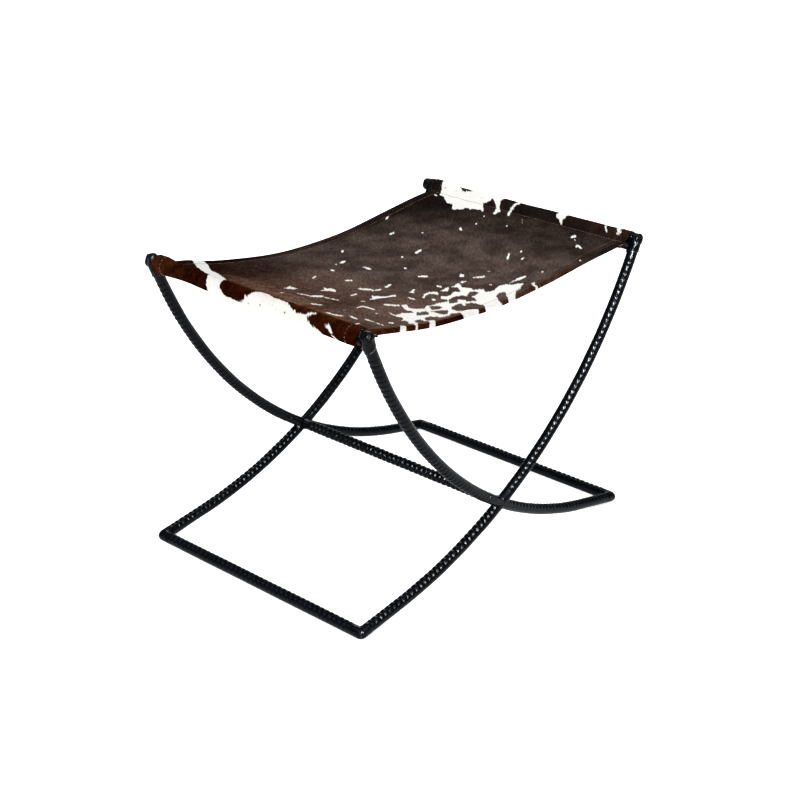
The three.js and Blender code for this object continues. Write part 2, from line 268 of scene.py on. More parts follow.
def product(tree, first, second):
    return calc(tree, "MULTIPLY", first, second)


def blend_colour(tree, share, first, second, mode="MIX"):
    made = node(tree, "ShaderNodeMix", {0: share}, data_type="RGBA", blend_type=mode)
    places = [k for k, socket in enumerate(made.inputs) if socket.type == "RGBA"]
    for place, value in zip(places, (first, second)):
        wire(tree, made, {place: (*value, 1) if isinstance(value, tuple) else value})
    return next(socket for socket in made.outputs if socket.type == "RGBA")


def bump(tree, height, distance, strength=1.0, under=None):
    given = {"Height": height, "Distance": distance, "Strength": strength}
    if under is not None:
        given["Normal"] = under
    return result(tree, "ShaderNodeBump", given)


def black_leather(name, dark, light, gloss_low, gloss_high, grain):
    """Waxed black leather: fine pores, soft creases, a patchy gloss, and dull folds darkened with painted
    shade.
    """
    material, tree, shader = new_material(name)
    place = object_place(tree)
    fold = remap(tree, point_value(tree, "crease"), 0.1, 0.65)
    cloudy = noise(tree, place, 45, 4)
    creases = noise(tree, place, 260, 5, 0.6, 0.4)
    pores = noise(tree, place, grain, 3, 0.6)
    colour = blend_colour(tree, remap(tree, cloudy, 0.35, 0.7), dark, light)
    # Painted shade: the colour goes near black in the folds, as deep as each point lies in a crease
    colour = blend_colour(tree, fold, colour, FOLD_PAINTED_SHADE)
    colour = blend_colour(tree, point_value(tree, "raw_edge"), colour, RAW_EDGE_GREY)
    rough = remap(tree, creases, 0.3, 0.75, gloss_low, gloss_high)
    soft = bump(tree, creases, 0.0005, 0.5)
    wire(tree, shader, {
        "Base Color": colour,
        "Roughness": calc(tree, "ADD", rough, product(tree, fold, 0.3)),
        "Specular IOR Level": GLOSS_LEVEL,
        "Normal": bump(tree, pores, 0.00025, 0.35, soft),
        "Coat Weight": remap(tree, fold, 0, 1, WAX_SHARE, WAX_SHARE_IN_FOLDS),
        "Coat Roughness": WAX_ROUGHNESS,
        "Coat Normal": soft,
    })
    return material


def steel_rod():
    """Mill-finished round bar: grey, drawn along its length, with dull spots of scale."""
    material, tree, shader = new_material("mill_steel")
    place = object_place(tree)
    drawn = noise(tree, stretch(tree, place, (0.0011, 0.08, 0.0011)), 1, 3)
    scale = remap(tree, noise(tree, place, 120, 4), 0.45, 0.7)
    wire(tree, shader, {
        "Base Color": blend_colour(tree, scale, (0.12, 0.12, 0.125), (0.05, 0.048, 0.047)),
        "Roughness": remap(tree, drawn, 0.2, 0.8, 0.35, 0.6),
        "Normal": bump(tree, drawn, 0.0001, 0.3),
        "Metallic": 1,
    })
    return material


def waxed_thread(name, dark, light):
    material, tree, shader = new_material(name)
    place = object_place(tree)
    worn = remap(tree, noise(tree, place, 90, 3), 0.35, 0.65)
    twist = result(tree, "ShaderNodeTexWave", {"Vector": place, "Scale": 700, "Distortion": 1.5}, "Fac",
                   wave_type="BANDS", bands_direction="DIAGONAL")
    wire(tree, shader, {
        "Base Color": blend_colour(tree, worn, dark, light),
        "Normal": bump(tree, twist, 0.00015, 0.6),
        "Roughness": 0.6,
        "Specular IOR Level": 0.08,
    })
    return material


GLOSS_LEVEL = 0.022
WAX_SHARE = 0.145
WAX_SHARE_IN_FOLDS = 0.02
WAX_ROUGHNESS = 0.1
# The near black that is painted into the leather's folds as shade
FOLD_PAINTED_SHADE = (0.0008, 0.0009, 0.001)
RAW_EDGE_GREY = (0.3, 0.29, 0.28)
cover_leather = black_leather("cover_leather", (0.002, 0.003, 0.005), (0.004, 0.0055, 0.008),
                              0.24, 0.36, 1500)
cap_leather = black_leather("cap_leather", (0.002, 0.0028, 0.004), (0.005, 0.006, 0.008), 0.2, 0.34, 1200)
lace_leather = black_leather("lace_leather", (0.001, 0.0018, 0.003), (0.003, 0.004, 0.006), 0.18, 0.3, 2200)
rod_steel = steel_rod()
hem_thread = waxed_thread("tan_thread", (0.085, 0.045, 0.028), (0.24, 0.135, 0.09))

# The leather covers. A stitch of lace every few millimetres pulls a valley into the
# leather, which swells into a rib between two stitches.
STITCH_PITCH = 9.4
RIB_HEIGHT = 2.1
RIB_MEAN_SHARE = 0.62
RIB_ROUNDNESS = 0.8
RIB_LEAST, RIB_MOST = 0.75, 1.2
KNOT_SCATTER = 0.045 * STITCH_PITCH
RIB_ROW_SHARES = np.array([0, 0.07, 0.16, 0.28, 0.42, 0.58, 0.72, 0.84, 0.93])
CREASE_WIDTH = 1.25
SEAM_GROOVE, SEAM_GROOVE_WIDTH = 0.22, math.radians(7)
UNEVENNESS = 0.06
COVER_RADIUS = 8.2
COVER_SIDES = 36
RING = 2 * math.pi * np.arange(COVER_SIDES) / COVER_SIDES
PLAIN_STEP = 4.0
COVER_TOP = 3.0
RIBS_TOP = 25.0
RIBS_TO_CROSSING = 17.0
RIBS_TO_CROSSING_LONG = 42.0
RIBS_TO_CORNER = 16.0
FADE = 8.0
CORNER_BEND = 1.5
CORNER_BEND_SHARE = 0.45
FOOT_ROWS_START = 16.0
WEB_FLARE = 1.7
WEB_REACH = 3.2
WEB_START = 16.0
STRAIGHT_ROWS = 4
STRAIGHT_SHARES = np.linspace(0, 1, STRAIGHT_ROWS, endpoint=False)[:, None]


def plain_rows(start, end):
    count = max(2, int(round((end - start) / PLAIN_STEP)))
    return np.linspace(start, end, count, endpoint=False), np.zeros(count), np.zeros(count), []


def rib_rows(start, end, dice):
    """Rows along a laced stretch: their places, how far each swells, how deep each lies in
    a crease, and the places of the stitches."""
    count = int(round((end - start) / STITCH_PITCH))
    knots = np.linspace(start, end, count + 1)
    knots[1:-1] += dice.normal(0, KNOT_SCATTER, count - 1)
    curve = np.abs(np.sin(math.pi * RIB_ROW_SHARES)) ** RIB_ROUNDNESS - RIB_MEAN_SHARE
    from_knot = np.minimum(RIB_ROW_SHARES, 1 - RIB_ROW_SHARES) * STITCH_PITCH
    rows = []
    for knot, following in zip(knots, knots[1:]):
        here = knot + (following - knot) * RIB_ROW_SHARES
        fade = smooth_step(np.minimum(here - start, end - here) / FADE + 0.15)
        swell = curve * fade * dice.uniform(RIB_LEAST, RIB_MOST) * RIB_HEIGHT
        rows.append((here, swell, fade * np.exp(-(from_knot / CREASE_WIDTH) ** 2)))
    return (*(np.concatenate(column) for column in zip(*rows)), knots)


def join_rows(*runs):
    joined = [np.concatenate([run[k] for run in runs]) for k in range(3)]
    return (*joined, [run[3] for run in runs if len(run[3])])


def angle_from(ring, seam):
    return (ring - seam + math.pi) % (2 * math.pi) - math.pi


def rippled(places, swells, creases, seam, least, width, dice):
    """The radius of each ring, rippled most along the seam, and never quite even."""
    away = angle_from(RING, np.asarray(seam)[..., None])
    reach = least + (1 - least) * np.exp(-np.abs(away / width) ** 2.5)
    radius = COVER_RADIUS + swells[:, None] * reach
    depth = creases[:, None] * np.sqrt(np.clip(reach - least, 0, 1))
    radius = radius - SEAM_GROOVE * hill(away, 0, SEAM_GROOVE_WIDTH)
    for _ in range(4):
        wave, phase, turns = dice.uniform(0.03, 0.12), dice.uniform(0, 6.3), dice.integers(1, 4)
        radius = radius + UNEVENNESS * np.sin(wave * places[:, None] + turns * RING + phase)
    return radius, depth


def rib_slant(most, turn, swells):
    """How far along its rod each point of a row slants. Rows that hardly swell don't."""
    return most * np.sin(turn) * (np.abs(swells) > 0.01)[:, None]


def straight_rows(first, ribs, last, gain, seam, reach, dice):
    """The rows of a straight cover from first to last, laced from -ribs to ribs."""
    places, swells, creases, laces = join_rows(plain_rows(first, -ribs), rib_rows(-ribs, ribs, dice),
                                               plain_rows(ribs, last))
    radius, depth = rippled(places, swells * gain, creases, seam, *reach, dice)
    return places, swells, radius, depth, laces[0]


def with_ends(before, depth, after):
    """The crease depths of a sleeve whose plain end rows have none."""
    return np.concatenate([np.zeros((before, COVER_SIDES)), depth, np.zeros((after, COVER_SIDES))])


def at_foot(along, up, y):
    """Points this far back along a leg from the end of its foot, and this far up from it."""
    x, z, angle = leg_line(LEG_LENGTH)
    return xyz(x - along * np.cos(angle) + up * np.sin(angle), y,
               z + along * np.sin(angle) + up * np.cos(angle))


def round_corner(c, first_turn, last_turn, rows, closed):
    """Rings round a corner: how far along the leg and across it each lies, and the bend."""
    psi = np.linspace(first_turn, last_turn, rows, endpoint=closed)[:, None]
    bend = CORNER_BEND + (c + COVER_RADIUS) * CORNER_BEND_SHARE
    return bend - c - bend * np.sin(psi), bend - c - bend * np.cos(psi), bend


def foot_rows(radius, y_side, rows):
    """Rings that round the corner from a leg into its base rail, up to the mitre."""
    c = radius * np.sin(RING) * y_side
    along, across, bend = round_corner(c, 0, math.pi / 4, rows, True)
    straight = FOOT_ROWS_START + (bend - c - FOOT_ROWS_START) * STRAIGHT_SHARES
    along = np.concatenate([straight, along])
    across = np.concatenate([-c + 0 * straight, across])
    return at_foot(along, radius * np.cos(RING), -across * y_side)


def cope_rows(radius, upper, rows):
    """Rings of a cross leg that run out onto the long leg, with a small web of leather."""
    lean, web = 2 * CROSSING_ANGLE, WEB_FLARE * np.cos(RING) ** 2
    reach = radius
    for _ in range(3):
        side = np.clip(np.abs(reach * np.sin(RING)) / COVER_RADIUS, 0, 1)
        half = COVER_RADIUS * np.sqrt(1 - side ** 2)
        rise = reach * np.cos(RING) * math.cos(lean)
        away = (half - rise if upper else half + rise) / math.sin(lean)
        reach = radius + web
    away = WEB_START + (away - WEB_START) * np.linspace(0, 1, rows)[:, None]
    flare = web * np.exp(-(away - away[-1]) / WEB_REACH)
    points = on_leg(CROSSING_LENGTH + (-away if upper else away), RING, radius + flare)
    return points if upper else points[::-1]


def flatten_foot(points):
    points[..., 2] = np.maximum(points[..., 2], 0)
    return points


BORE_STRIDE = 12
COPE_ROWS = 10
BORE_COPE_ROWS = 5
FOOT_ROWS = 8
RAIL_SWELL = 0.3
BORE_RING = np.full(COVER_SIDES, BORE_RADIUS)
FOOT_RING = np.full(COVER_SIDES, COVER_RADIUS + RAIL_SWELL)
# How far the ribs slant along a leg or a rail, from the seam to the quarter turn
LEG_SLANT = 0.9
RAIL_SLANT = 0.8
# Where each stretch is laced, round the leg from its upper side, and how strong its ribs are
LONG_SEAMS = (math.pi, 0.0)
CROSS_SEAMS = (math.radians(28), 0.0)
LONG_RIBS = (0.62, 0.72)
CROSS_RIBS = (0.45, 0.95)
UPPER_REACH = (0.06, math.radians(68))
LOWER_REACH = (0.03, math.radians(54))


def leg_cover(name, cross, half, y, dice):
    """half is both for a long leg, or upper or lower for a cross leg. It gives back the
    stitches of the lace: their places along the leg and the side that they are on."""
    y_side = math.copysign(1, y) * (-1 if cross else 1)
    seams, strength = (CROSS_SEAMS, CROSS_RIBS) if cross else (LONG_SEAMS, LONG_RIBS)
    smooth = RIBS_TO_CROSSING if cross else RIBS_TO_CROSSING_LONG
    before, after = CROSSING_LENGTH - smooth, CROSSING_LENGTH + RIBS_TO_CROSSING
    runs, laces = [], []
    if half != "lower":
        runs += [plain_rows(COVER_TOP, RIBS_TOP), rib_rows(RIBS_TOP, before, dice)]
        laces.append(("upper", runs[-1][3], seams[0]))
    if half == "both":
        runs.append(plain_rows(before, after))
    if half != "upper":
        runs.append(rib_rows(after, LEG_LENGTH - RIBS_TO_CORNER, dice))
        laces.append(("lower", runs[-1][3], seams[1]))
    places, swells, creases, _ = join_rows(*runs)
    upper = places < CROSSING_LENGTH
    seam = np.where(upper, *seams)
    swells = swells * np.where(upper, *strength)
    least, width = (np.where(upper, *pair)[:, None] for pair in zip(UPPER_REACH, LOWER_REACH))
    radius, depth = rippled(places, swells, creases, seam, least, width, dice)
    slant = rib_slant(LEG_SLANT, angle_from(RING, seam[:, None]), swells)
    shells = []
    for here, size, ends, foot, rows in (
            (places[:, None] + slant, radius, radius[[0, -1]], FOOT_RING, COPE_ROWS),
            (places[::BORE_STRIDE, None], BORE_RADIUS, (BORE_RING, BORE_RING), BORE_RING, BORE_COPE_ROWS)):
        first = [cope_rows(ends[0], False, rows)] if half == "lower" else []
        last = cope_rows(ends[1], True, rows) if half == "upper" else foot_rows(foot, y_side, FOOT_ROWS)
        shell = np.concatenate([*first, on_leg(here, RING, size), last])
        shells.append(place_leg(flatten_foot(shell), cross, y))
    rows_before = COPE_ROWS if half == "lower" else 0
    rows_after = COPE_ROWS if half == "upper" else FOOT_ROWS + STRAIGHT_ROWS
    return tube(name, *shells, with_ends(rows_before, depth, rows_after), cover_leather), laces


def rail_corner(radius, y_side, rows):
    """Rings from the mitre of a base rail to its straight."""
    c = radius * np.sin(RING)
    along, across, bend = round_corner(c, math.pi / 4, math.pi / 2, rows, False)
    along = np.concatenate([along, -c + 0 * STRAIGHT_SHARES])
    across = np.concatenate([across, bend - c + (FOOT_ROWS_START - bend + c) * STRAIGHT_SHARES])
    points = at_foot(along, radius * np.cos(RING), y_side * (LEG_PLANE_HALF - across))
    return points if y_side < 0 else points[::-1]


RAIL_REACH = (0.04, math.radians(58))
RAIL_RIB_GAIN = 0.75
RAIL_CORNER_ROWS = 7


def base_rail_cover(name, cross, dice):
    half = LEG_PLANE_HALF - FOOT_ROWS_START
    places, swells, radius, depth, lace = straight_rows(
        -half, LEG_PLANE_HALF - RIBS_TO_CORNER, half + PLAIN_STEP, RAIL_RIB_GAIN, 0.0, RAIL_REACH, dice)
    slanted = places[:, None] + rib_slant(RAIL_SLANT, RING, swells)
    shells = []
    for here, size, smooth in ((slanted, radius + RAIL_SWELL, FOOT_RING),
                               (places[::BORE_STRIDE, None], BORE_RING, BORE_RING)):
        straight = at_foot(-size * np.sin(RING), size * np.cos(RING), here)
        ends = [rail_corner(smooth, y_side, RAIL_CORNER_ROWS) for y_side in (-1, 1)]
        shell = np.concatenate([ends[0], straight, ends[1]])
        shells.append(place_leg(flatten_foot(shell), cross, 0))
    corner = RAIL_CORNER_ROWS + STRAIGHT_ROWS
    return tube(name, *shells, with_ends(corner, depth, corner), cover_leather), lace


STRETCHER_SEAM = math.radians(-38)
STRETCHER_REACH = (0.45, math.radians(100))
STRETCHER_RIB_GAIN = 1.25
STRETCHER_SLIM = 0.35
STRETCHER_END_ROWS, STRETCHER_BORE_ROWS = 8, 4


def on_stretcher(places, turns, radius):
    return xyz(radius * np.sin(turns), places, CROSSING_HEIGHT + radius * np.cos(turns))


def stretcher_end(radius, y_side, rows):
    """Rings that run out onto the two legs that cross."""
    x, z = ((radius + WEB_FLARE) * way(RING) for way in (np.sin, np.cos))
    sine, cosine = math.sin(CROSSING_ANGLE), math.cos(CROSSING_ANGLE)
    halves = [np.sqrt(np.clip(COVER_RADIUS ** 2 - (side * x * sine + z * cosine) ** 2, 0, None))
              for side in (1, -1)]
    away = WEB_START + (np.maximum(*halves) - WEB_START) * np.linspace(0, 1, rows)[:, None]
    flare = WEB_FLARE * np.exp(-(away - away[-1]) / WEB_REACH)
    points = on_stretcher(y_side * (LEG_PLANE_HALF - away), RING, radius + flare)
    return points[::-1] if y_side < 0 else points


def stretcher_cover(name, dice):
    half = LEG_PLANE_HALF - WEB_START
    places, _, radius, depth, lace = straight_rows(
        1 - half, LEG_PLANE_HALF - RIBS_TO_CROSSING, half, STRETCHER_RIB_GAIN, STRETCHER_SEAM,
        STRETCHER_REACH, dice)
    radius = radius - STRETCHER_SLIM
    shells = []
    for here, size, ends, rows in (
            (places, radius, radius[[0, -1]], STRETCHER_END_ROWS),
            (places[::BORE_STRIDE], BORE_RADIUS, (BORE_RING, BORE_RING), STRETCHER_BORE_ROWS)):
        first, last = (stretcher_end(end, y_side, rows) for end, y_side in zip(ends, (-1, 1)))
        shells.append(np.concatenate([first, on_stretcher(here[:, None], RING, size), last]))
    depth = with_ends(STRETCHER_END_ROWS, depth, STRETCHER_END_ROWS)
    return tube(name, *shells, depth, cover_leather), lace


# Strands of lace or thread: short arcs set round given centres by Geometry Nodes. Each
# leans by its tilt times a random share from this range.
TILT_SPREAD = (0.6, 1.4)
STRAND_SIDES = 6


def strand_tree(name):
    """A node tree that sets one short, flat arc of strand on each point. A point's
    attributes are the way out of the surface and the axis that the arc turns round."""
    tree = bpy.data.node_groups.new(name, "GeometryNodeTree")
    sizes = ("Arc Radius", "Half Angle", "Width", "Thickness", "Tilt")
    kinds = {"Geometry": "Geometry", **dict.fromkeys(sizes, "Float"), "Arc Steps": "Int", "Seed": "Int",
             "Material": "Material"}
    for title, kind in kinds.items():
        tree.interface.new_socket(title, in_out="INPUT", socket_type="NodeSocket" + kind)
    tree.interface.new_socket("Geometry", in_out="OUTPUT", socket_type="NodeSocketGeometry")
    given = node(tree, "NodeGroupInput").outputs

    start, sweep = (product(tree, given["Half Angle"], times) for times in (-1, 2))
    arc = result(tree, "GeometryNodeCurveArc", {
        "Resolution": given["Arc Steps"], "Radius": given["Arc Radius"], "Start Angle": start,
        "Sweep Angle": sweep}, mode="RADIUS")
    section = result(tree, "GeometryNodeCurvePrimitiveCircle", {"Resolution": STRAND_SIDES, "Radius": 0.5},
                     mode="RADIUS")
    shape = result(tree, "ShaderNodeCombineXYZ", {"X": given["Thickness"], "Y": given["Width"], "Z": 1})
    flat = result(tree, "GeometryNodeTransform", {"Geometry": section, "Scale": shape})
    strand = result(tree, "GeometryNodeCurveToMesh", {"Curve": arc, "Profile Curve": flat, "Fill Caps": True})

    outward, axis = (result(tree, "GeometryNodeInputNamedAttribute", {"Name": title},
                            data_type="FLOAT_VECTOR") for title in ("outward", "axis"))
    stand = result(tree, "FunctionNodeAxesToRotation", {"Primary Axis": outward, "Secondary Axis": axis},
                   primary_axis="X", secondary_axis="Z")
    least, most = (product(tree, given["Tilt"], share) for share in TILT_SPREAD)
    tilt = result(tree, "FunctionNodeRandomValue", {2: least, 3: most, "Seed": given["Seed"]}, 1,
                  data_type="FLOAT")
    lean = result(tree, "FunctionNodeEulerToRotation", {0: result(tree, "ShaderNodeCombineXYZ", {"X": tilt})})
    turned = result(tree, "FunctionNodeRotateRotation", {0: stand, 1: lean}, rotation_space="LOCAL")

    spread = result(tree, "GeometryNodeInstanceOnPoints", {"Points": given["Geometry"], "Instance": strand,
                                                           "Rotation": turned})
    real = result(tree, "GeometryNodeRealizeInstances", {"Geometry": spread})
    finish = result(tree, "GeometryNodeSetMaterial", {"Geometry": real, "Material": given["Material"]})
    node(tree, "NodeGroupOutput", {"Geometry": finish})
    return tree


strands = strand_tree("strands_on_a_seam")


def sew(name, centres, outward, axis, material, **sizes):
    """One run of lace or thread, as a plain mesh."""
    mesh = bpy.data.meshes.new(name + "_points")
    mesh.from_pydata((np.asarray(centres) * MM).tolist(), [], [])
    for title, vectors in (("outward", outward), ("axis", axis)):
        attribute = mesh.attributes.new(title, "FLOAT_VECTOR", "POINT")
        attribute.data.foreach_set("vector", np.asarray(vectors, float).ravel())
    carrier = add_object(name + "_points", mesh)
    modifier = carrier.modifiers.new("strands", "NODES")
    modifier.node_group = strands
    wanted = {"Material": material, **sizes}
    for item in strands.interface.items_tree:
        title = item.name.replace(" ", "_")
        if item.in_out == "INPUT" and title in wanted:
            modifier[item.identifier] = wanted[title]
    made = applied(carrier)
    for title in ("outward", "axis"):
        if title in made.attributes:
            made.attributes.remove(made.attributes[title])
    return smooth_object(name, made, material)


LACE = {"Arc_Radius": 7.0 * MM, "Half_Angle": math.radians(44), "Width": 1.5 * MM,
        "Thickness": 1.0 * MM, "Tilt": math.radians(12), "Arc_Steps": 12}
FIRST_SEED = 11


def leg_lace(name, knots, seam, cross, y, seed):
    """Lace round the leather in each valley of a leg cover."""
    places = knots[1:-1]
    centres = place_leg(on_leg(places, 0, 0), cross, y)
    outward = place_leg(on_leg(places, seam, 1), cross, y) - centres
    ahead = place_leg(on_leg(places + 1, 0, 0), cross, y) - centres
    return sew(name, centres, outward, ahead, lace_leather, Seed=seed, **LACE)


def rail_lace(name, knots, x, z, outward, seed):
    centres = xyz(x, knots[1:-1], z)
    ways = (np.broadcast_to(way, centres.shape) for way in (outward, (0.0, 1.0, 0.0)))
    return sew(name, centres, *ways, lace_leather, Seed=seed, **LACE)


def dress_frame():
    seed = FIRST_SEED
    for side, y in (("front", -LEG_PLANE_HALF), ("rear", LEG_PLANE_HALF)):
        for leg, half in (("long_leg", "both"), ("cross_leg", "upper"), ("cross_leg", "lower")):
            seed += 1
            cross = leg == "cross_leg"
            sleeve = f"{side}_{leg}_{half}" if cross else f"{side}_{leg}"
            cover, laces = leg_cover(f"{sleeve}_cover", cross, half, y, np.random.default_rng(seed))
            dress(cover, "frame_leather", f"{sleeve}_leather")
            for part, knots, seam in laces:
                lace = leg_lace(f"{side}_{leg}_{part}_lace", knots, seam, cross, y, seed)
                dress(lace, "lacing", f"{side}_{leg}_{part}_lacing")
    for side, sign in (("left", -1), ("right", 1)):
        seed += 1
        cross = sign < 0
        cover, knots = base_rail_cover(f"{side}_base_rail_cover", cross, np.random.default_rng(seed))
        dress(cover, "frame_leather", f"{side}_base_rail_leather")
        outward = (sign * math.sin(FOOT_ANGLE), 0, math.cos(FOOT_ANGLE))
        lace = rail_lace(f"{side}_base_rail_lace", -knots[::-1] if cross else knots, sign * BASE_HALF_SPAN,
                         BASE_HEIGHT, outward, seed)
        dress(lace, "lacing", f"{side}_base_rail_lacing")
    seed += 1
    cover, knots = stretcher_cover("stretcher_cover", np.random.default_rng(seed))
    dress(cover, "frame_leather", "stretcher_leather")
    outward = (math.sin(STRETCHER_SEAM), 0, math.cos(STRETCHER_SEAM))
    dress(rail_lace("stretcher_lace", knots, 0, CROSSING_HEIGHT, outward, seed), "lacing", "stretcher_lacing")


dress_frame()

# The leather caps: each is wrapped over a corner, pleated at its crown, and its outer
# edge runs down round it in a slant
CAP_SKIRT = 21.0
CAP_SLANT = 3.0
CAP_WALL = 1.3
CAP_SIDES, CAP_SKIRT_ROWS, CAP_CROWN_ROWS = 64, 18, 14
CAP_WRAP = 0.8
CAP_PLEATS, PLEAT_DEPTH = 9, 0.7
CROWN_ROUNDNESS = 0.8
EDGE_TWIST = 1.1
CAP_CELL = 0.4
POLE_GAP = 0.00002
RAIL_SIDES = 40
# How wide the light raw edge is, how soft it ends, and how much of it the rear caps show
RAW_EDGE, RAW_EDGE_FADE, RAW_EDGE_REAR = 0.9, 0.4, 0.2
# How often a cap's shape is evened out to find its folds, and how deep a full fold lies below it
FOLD_SPREAD = 12
FOLD_HOLLOW = 0.09
RAW_EDGE_FROM, RAW_EDGE_TO = math.radians(215), math.radians(300)
# Round the rail, a collar reaches into the pocket and a gathered end closes the front:
# each row is a distance along the rail from the leg's middle, and a radius
COLLAR_ROWS = [(5.0, 6.8), (5.0, 8.9), (9.0, 8.8), (13.0, 8.5), (17.0, 8.6), (18.5, 7.9), (18.5, 6.8)]
END_ROWS = [(0.0, 0.0), (0.0, 7.4), (7.6, 8.2), (9.6, 8.0), (11.0, 7.3), (11.5, 6.5), (10.8, 5.8), (8.9, 5.3),
            (8.8, 4.7), (10.2, 4.2), (10.5, 3.5), (9.4, 2.9), (6.4, 2.4), (5.4, 0.0)]


def round_rail(rows, closed):
    """A solid of rows of (distance, radius) round the rail, in the leg's own place."""
    turns = 2 * math.pi * np.arange(RAIL_SIDES) / RAIL_SIDES
    points = []
    for distance, radius in rows:
        puckered = radius * (1 + 0.03 * np.sin(5 * turns + distance))
        points.append(xyz(puckered * np.cos(turns) - TOP_HALF_SPAN, distance,
                          TOP_HEIGHT + puckered * np.sin(turns)))
    faces = grid_quads(len(rows), RAIL_SIDES)
    if closed:
        faces += ring_band((len(rows) - 1) * RAIL_SIDES, 0, RAIL_SIDES)
    return np.concatenate(points), faces


def cap_shell(edge_turn, size, rise, dice):
    """The skirt and the pleated crown, with the bore that the leg stands in."""
    ring = 2 * math.pi * np.arange(CAP_SIDES) / CAP_SIDES
    phases = dice.uniform(0, 2 * math.pi, 3)
    skirt = np.linspace(0, 1, CAP_SKIRT_ROWS, endpoint=False)
    crown = np.linspace(0, math.pi / 2, CAP_CROWN_ROWS)
    length = CAP_SKIRT - CAP_SLANT * np.sin(ring - edge_turn)
    outer, inner = [], []
    for share in np.concatenate([skirt, 1 + crown]):
        on_crown = max(share - 1, 0)
        along = -length * max(1 - share, 0)
        narrowing = math.cos(on_crown) ** CROWN_ROUNDNESS if on_crown < math.pi / 2 - 0.01 else 0.0
        turned = (ring - edge_turn - EDGE_TWIST * share) % (2 * math.pi)
        wrap = CAP_WRAP * turned / (2 * math.pi) * smooth_step(turned / 0.12)
        wrap = wrap * (1 - ramp(on_crown, 0.9, 0.5))
        gathers = np.abs(np.sin(CAP_PLEATS * ring / 2 + 1.3 * on_crown))
        pleats = PLEAT_DEPTH * smooth_step(on_crown / 0.9) * gathers
        wrinkles = 0.25 * np.sin(2 * ring + 0.25 * CAP_SKIRT * share + phases[1])
        wrinkles = wrinkles + 0.18 * np.sin(5 * ring - 9 * share + phases[2])
        radius = (size + wrap + wrinkles - pleats) * narrowing
        lift = (size + rise) * math.sin(on_crown) - 0.6 * pleats * math.sin(on_crown)
        outer.append(cap_points(along + lift, ring, radius))
        inner.append(cap_points(along + np.maximum(lift - CAP_WALL * math.sin(on_crown), 0), ring,
                                np.maximum(radius - CAP_WALL * narrowing, 0)))
    count = len(outer)
    first = count * CAP_SIDES
    faces = grid_quads(count, CAP_SIDES) + grid_quads(count, CAP_SIDES, first)
    faces += ring_band(0, first, CAP_SIDES)
    raw = outer[0][(ring > RAW_EDGE_FROM) & (ring < RAW_EDGE_TO)]
    return np.concatenate(outer + inner), faces, raw


def cap_points(along, ring, radius):
    """Round the top of a leg, along its first direction carried on past its end."""
    angle = leg_line(0.0)[2]
    x, z, below_angle = leg_line(np.maximum(-along, 0))
    above = np.maximum(along, 0)
    up = radius * np.cos(ring)
    return xyz(x - above * math.cos(angle) + up * np.sin(below_angle), radius * np.sin(ring),
               z + above * math.sin(angle) + up * np.cos(below_angle))


def leg_cap(name, cross, y, edge_turn, size, rise, crest, end_reach, end_girth, seed):
    """edge_turn is where the wrapped edge starts at the crown, rise how tall the crown is,
    crest how far the fold over the rail stands up. The closed end has its reach and girth."""
    seat_side = -math.copysign(1, y) * (-1 if cross else 1)
    *skirt, raw = cap_shell(math.radians(edge_turn), size, rise, np.random.default_rng(seed))
    end_rows = [(along * end_reach, radius * end_girth) for along, radius in END_ROWS]
    points, faces, count = [], [], 0
    for (cloud, mesh_faces), side in ((skirt, 1), (round_rail(COLLAR_ROWS, True), seat_side),
                                      (round_rail(end_rows, False), -seat_side)):
        cloud = cloud * (1, side, 1)
        in_pocket = smooth_step((cloud[:, 1] * seat_side - 2) / 7)
        cloud[:, 2] += crest * smooth_step((cloud[:, 2] - TOP_HEIGHT) / 9) * (1 - in_pocket)
        points.append(place_leg(cloud, cross, y))
        faces += [[count + k for k in face] for face in mesh_faces]
        count += len(cloud)
    rough = mesh_object(name + "_shells", np.concatenate(points), faces, cap_leather, POLE_GAP)
    knit = rough.modifiers.new("knit", "REMESH")
    knit.mode = "VOXEL"
    knit.voxel_size = CAP_CELL * MM
    soften = rough.modifiers.new("soften", "SMOOTH")
    soften.factor = 0.5
    soften.iterations = 1
    mesh = applied(rough)
    raw = place_leg(raw, cross, y) * MM
    near = [np.sqrt(((raw - np.array(spot.co)) ** 2).sum(-1).min()) for spot in mesh.vertices]
    shown = 1.0 if y < 0 else RAW_EDGE_REAR
    add_number(mesh, "crease", fold_depth(mesh))
    add_number(mesh, "raw_edge", shown * smooth_step((RAW_EDGE - np.array(near) / MM) / RAW_EDGE_FADE))
    return smooth_object(name, mesh, cap_leather)


def fold_depth(mesh):
    """How deep each point of a cap lies in a fold of the leather, from zero to one."""
    count = len(mesh.vertices)
    places = values_of(mesh.vertices, "co", 3) / MM
    ends = values_of(mesh.edges, "vertices", 2, int)
    here, there = np.concatenate([ends, ends[:, ::-1]]).T
    neighbours = np.maximum(np.bincount(here, minlength=count), 1)

    def level(values):
        return np.bincount(here, weights=values[there], minlength=count) / neighbours

    even = places
    for _ in range(FOLD_SPREAD):
        even = np.stack([level(even[:, axis]) for axis in range(3)], -1)
    hollow = ((even - places) * values_of(mesh.vertices, "normal", 3)).sum(-1)
    return smooth_step(level(level(hollow)) / FOLD_HOLLOW)


# Each cap: cross leg or not, front or rear, then the shape that leg_cap asks for
CAPS = {
    "front_left": (False, -1, 220, 9.0, -1.3, 0.0, 0.72, 1.05, 31),
    "front_right": (True, -1, 60, 9.0, 0.0, 0.5, 0.62, 1.15, 32),
    "rear_left": (False, 1, 150, 8.9, 2.2, 4.2, 1.0, 1.0, 33),
    "rear_right": (True, 1, 20, 8.8, 2.6, 0.6, 1.4, 1.22, 34),
}
for corner, (cross_leg, y_side, *cap_shape) in CAPS.items():
    cap = leg_cap(f"{corner}_cap", cross_leg, y_side * LEG_PLANE_HALF, *cap_shape)
    dress(cap, "frame_leather", f"{corner}_leg_cap")

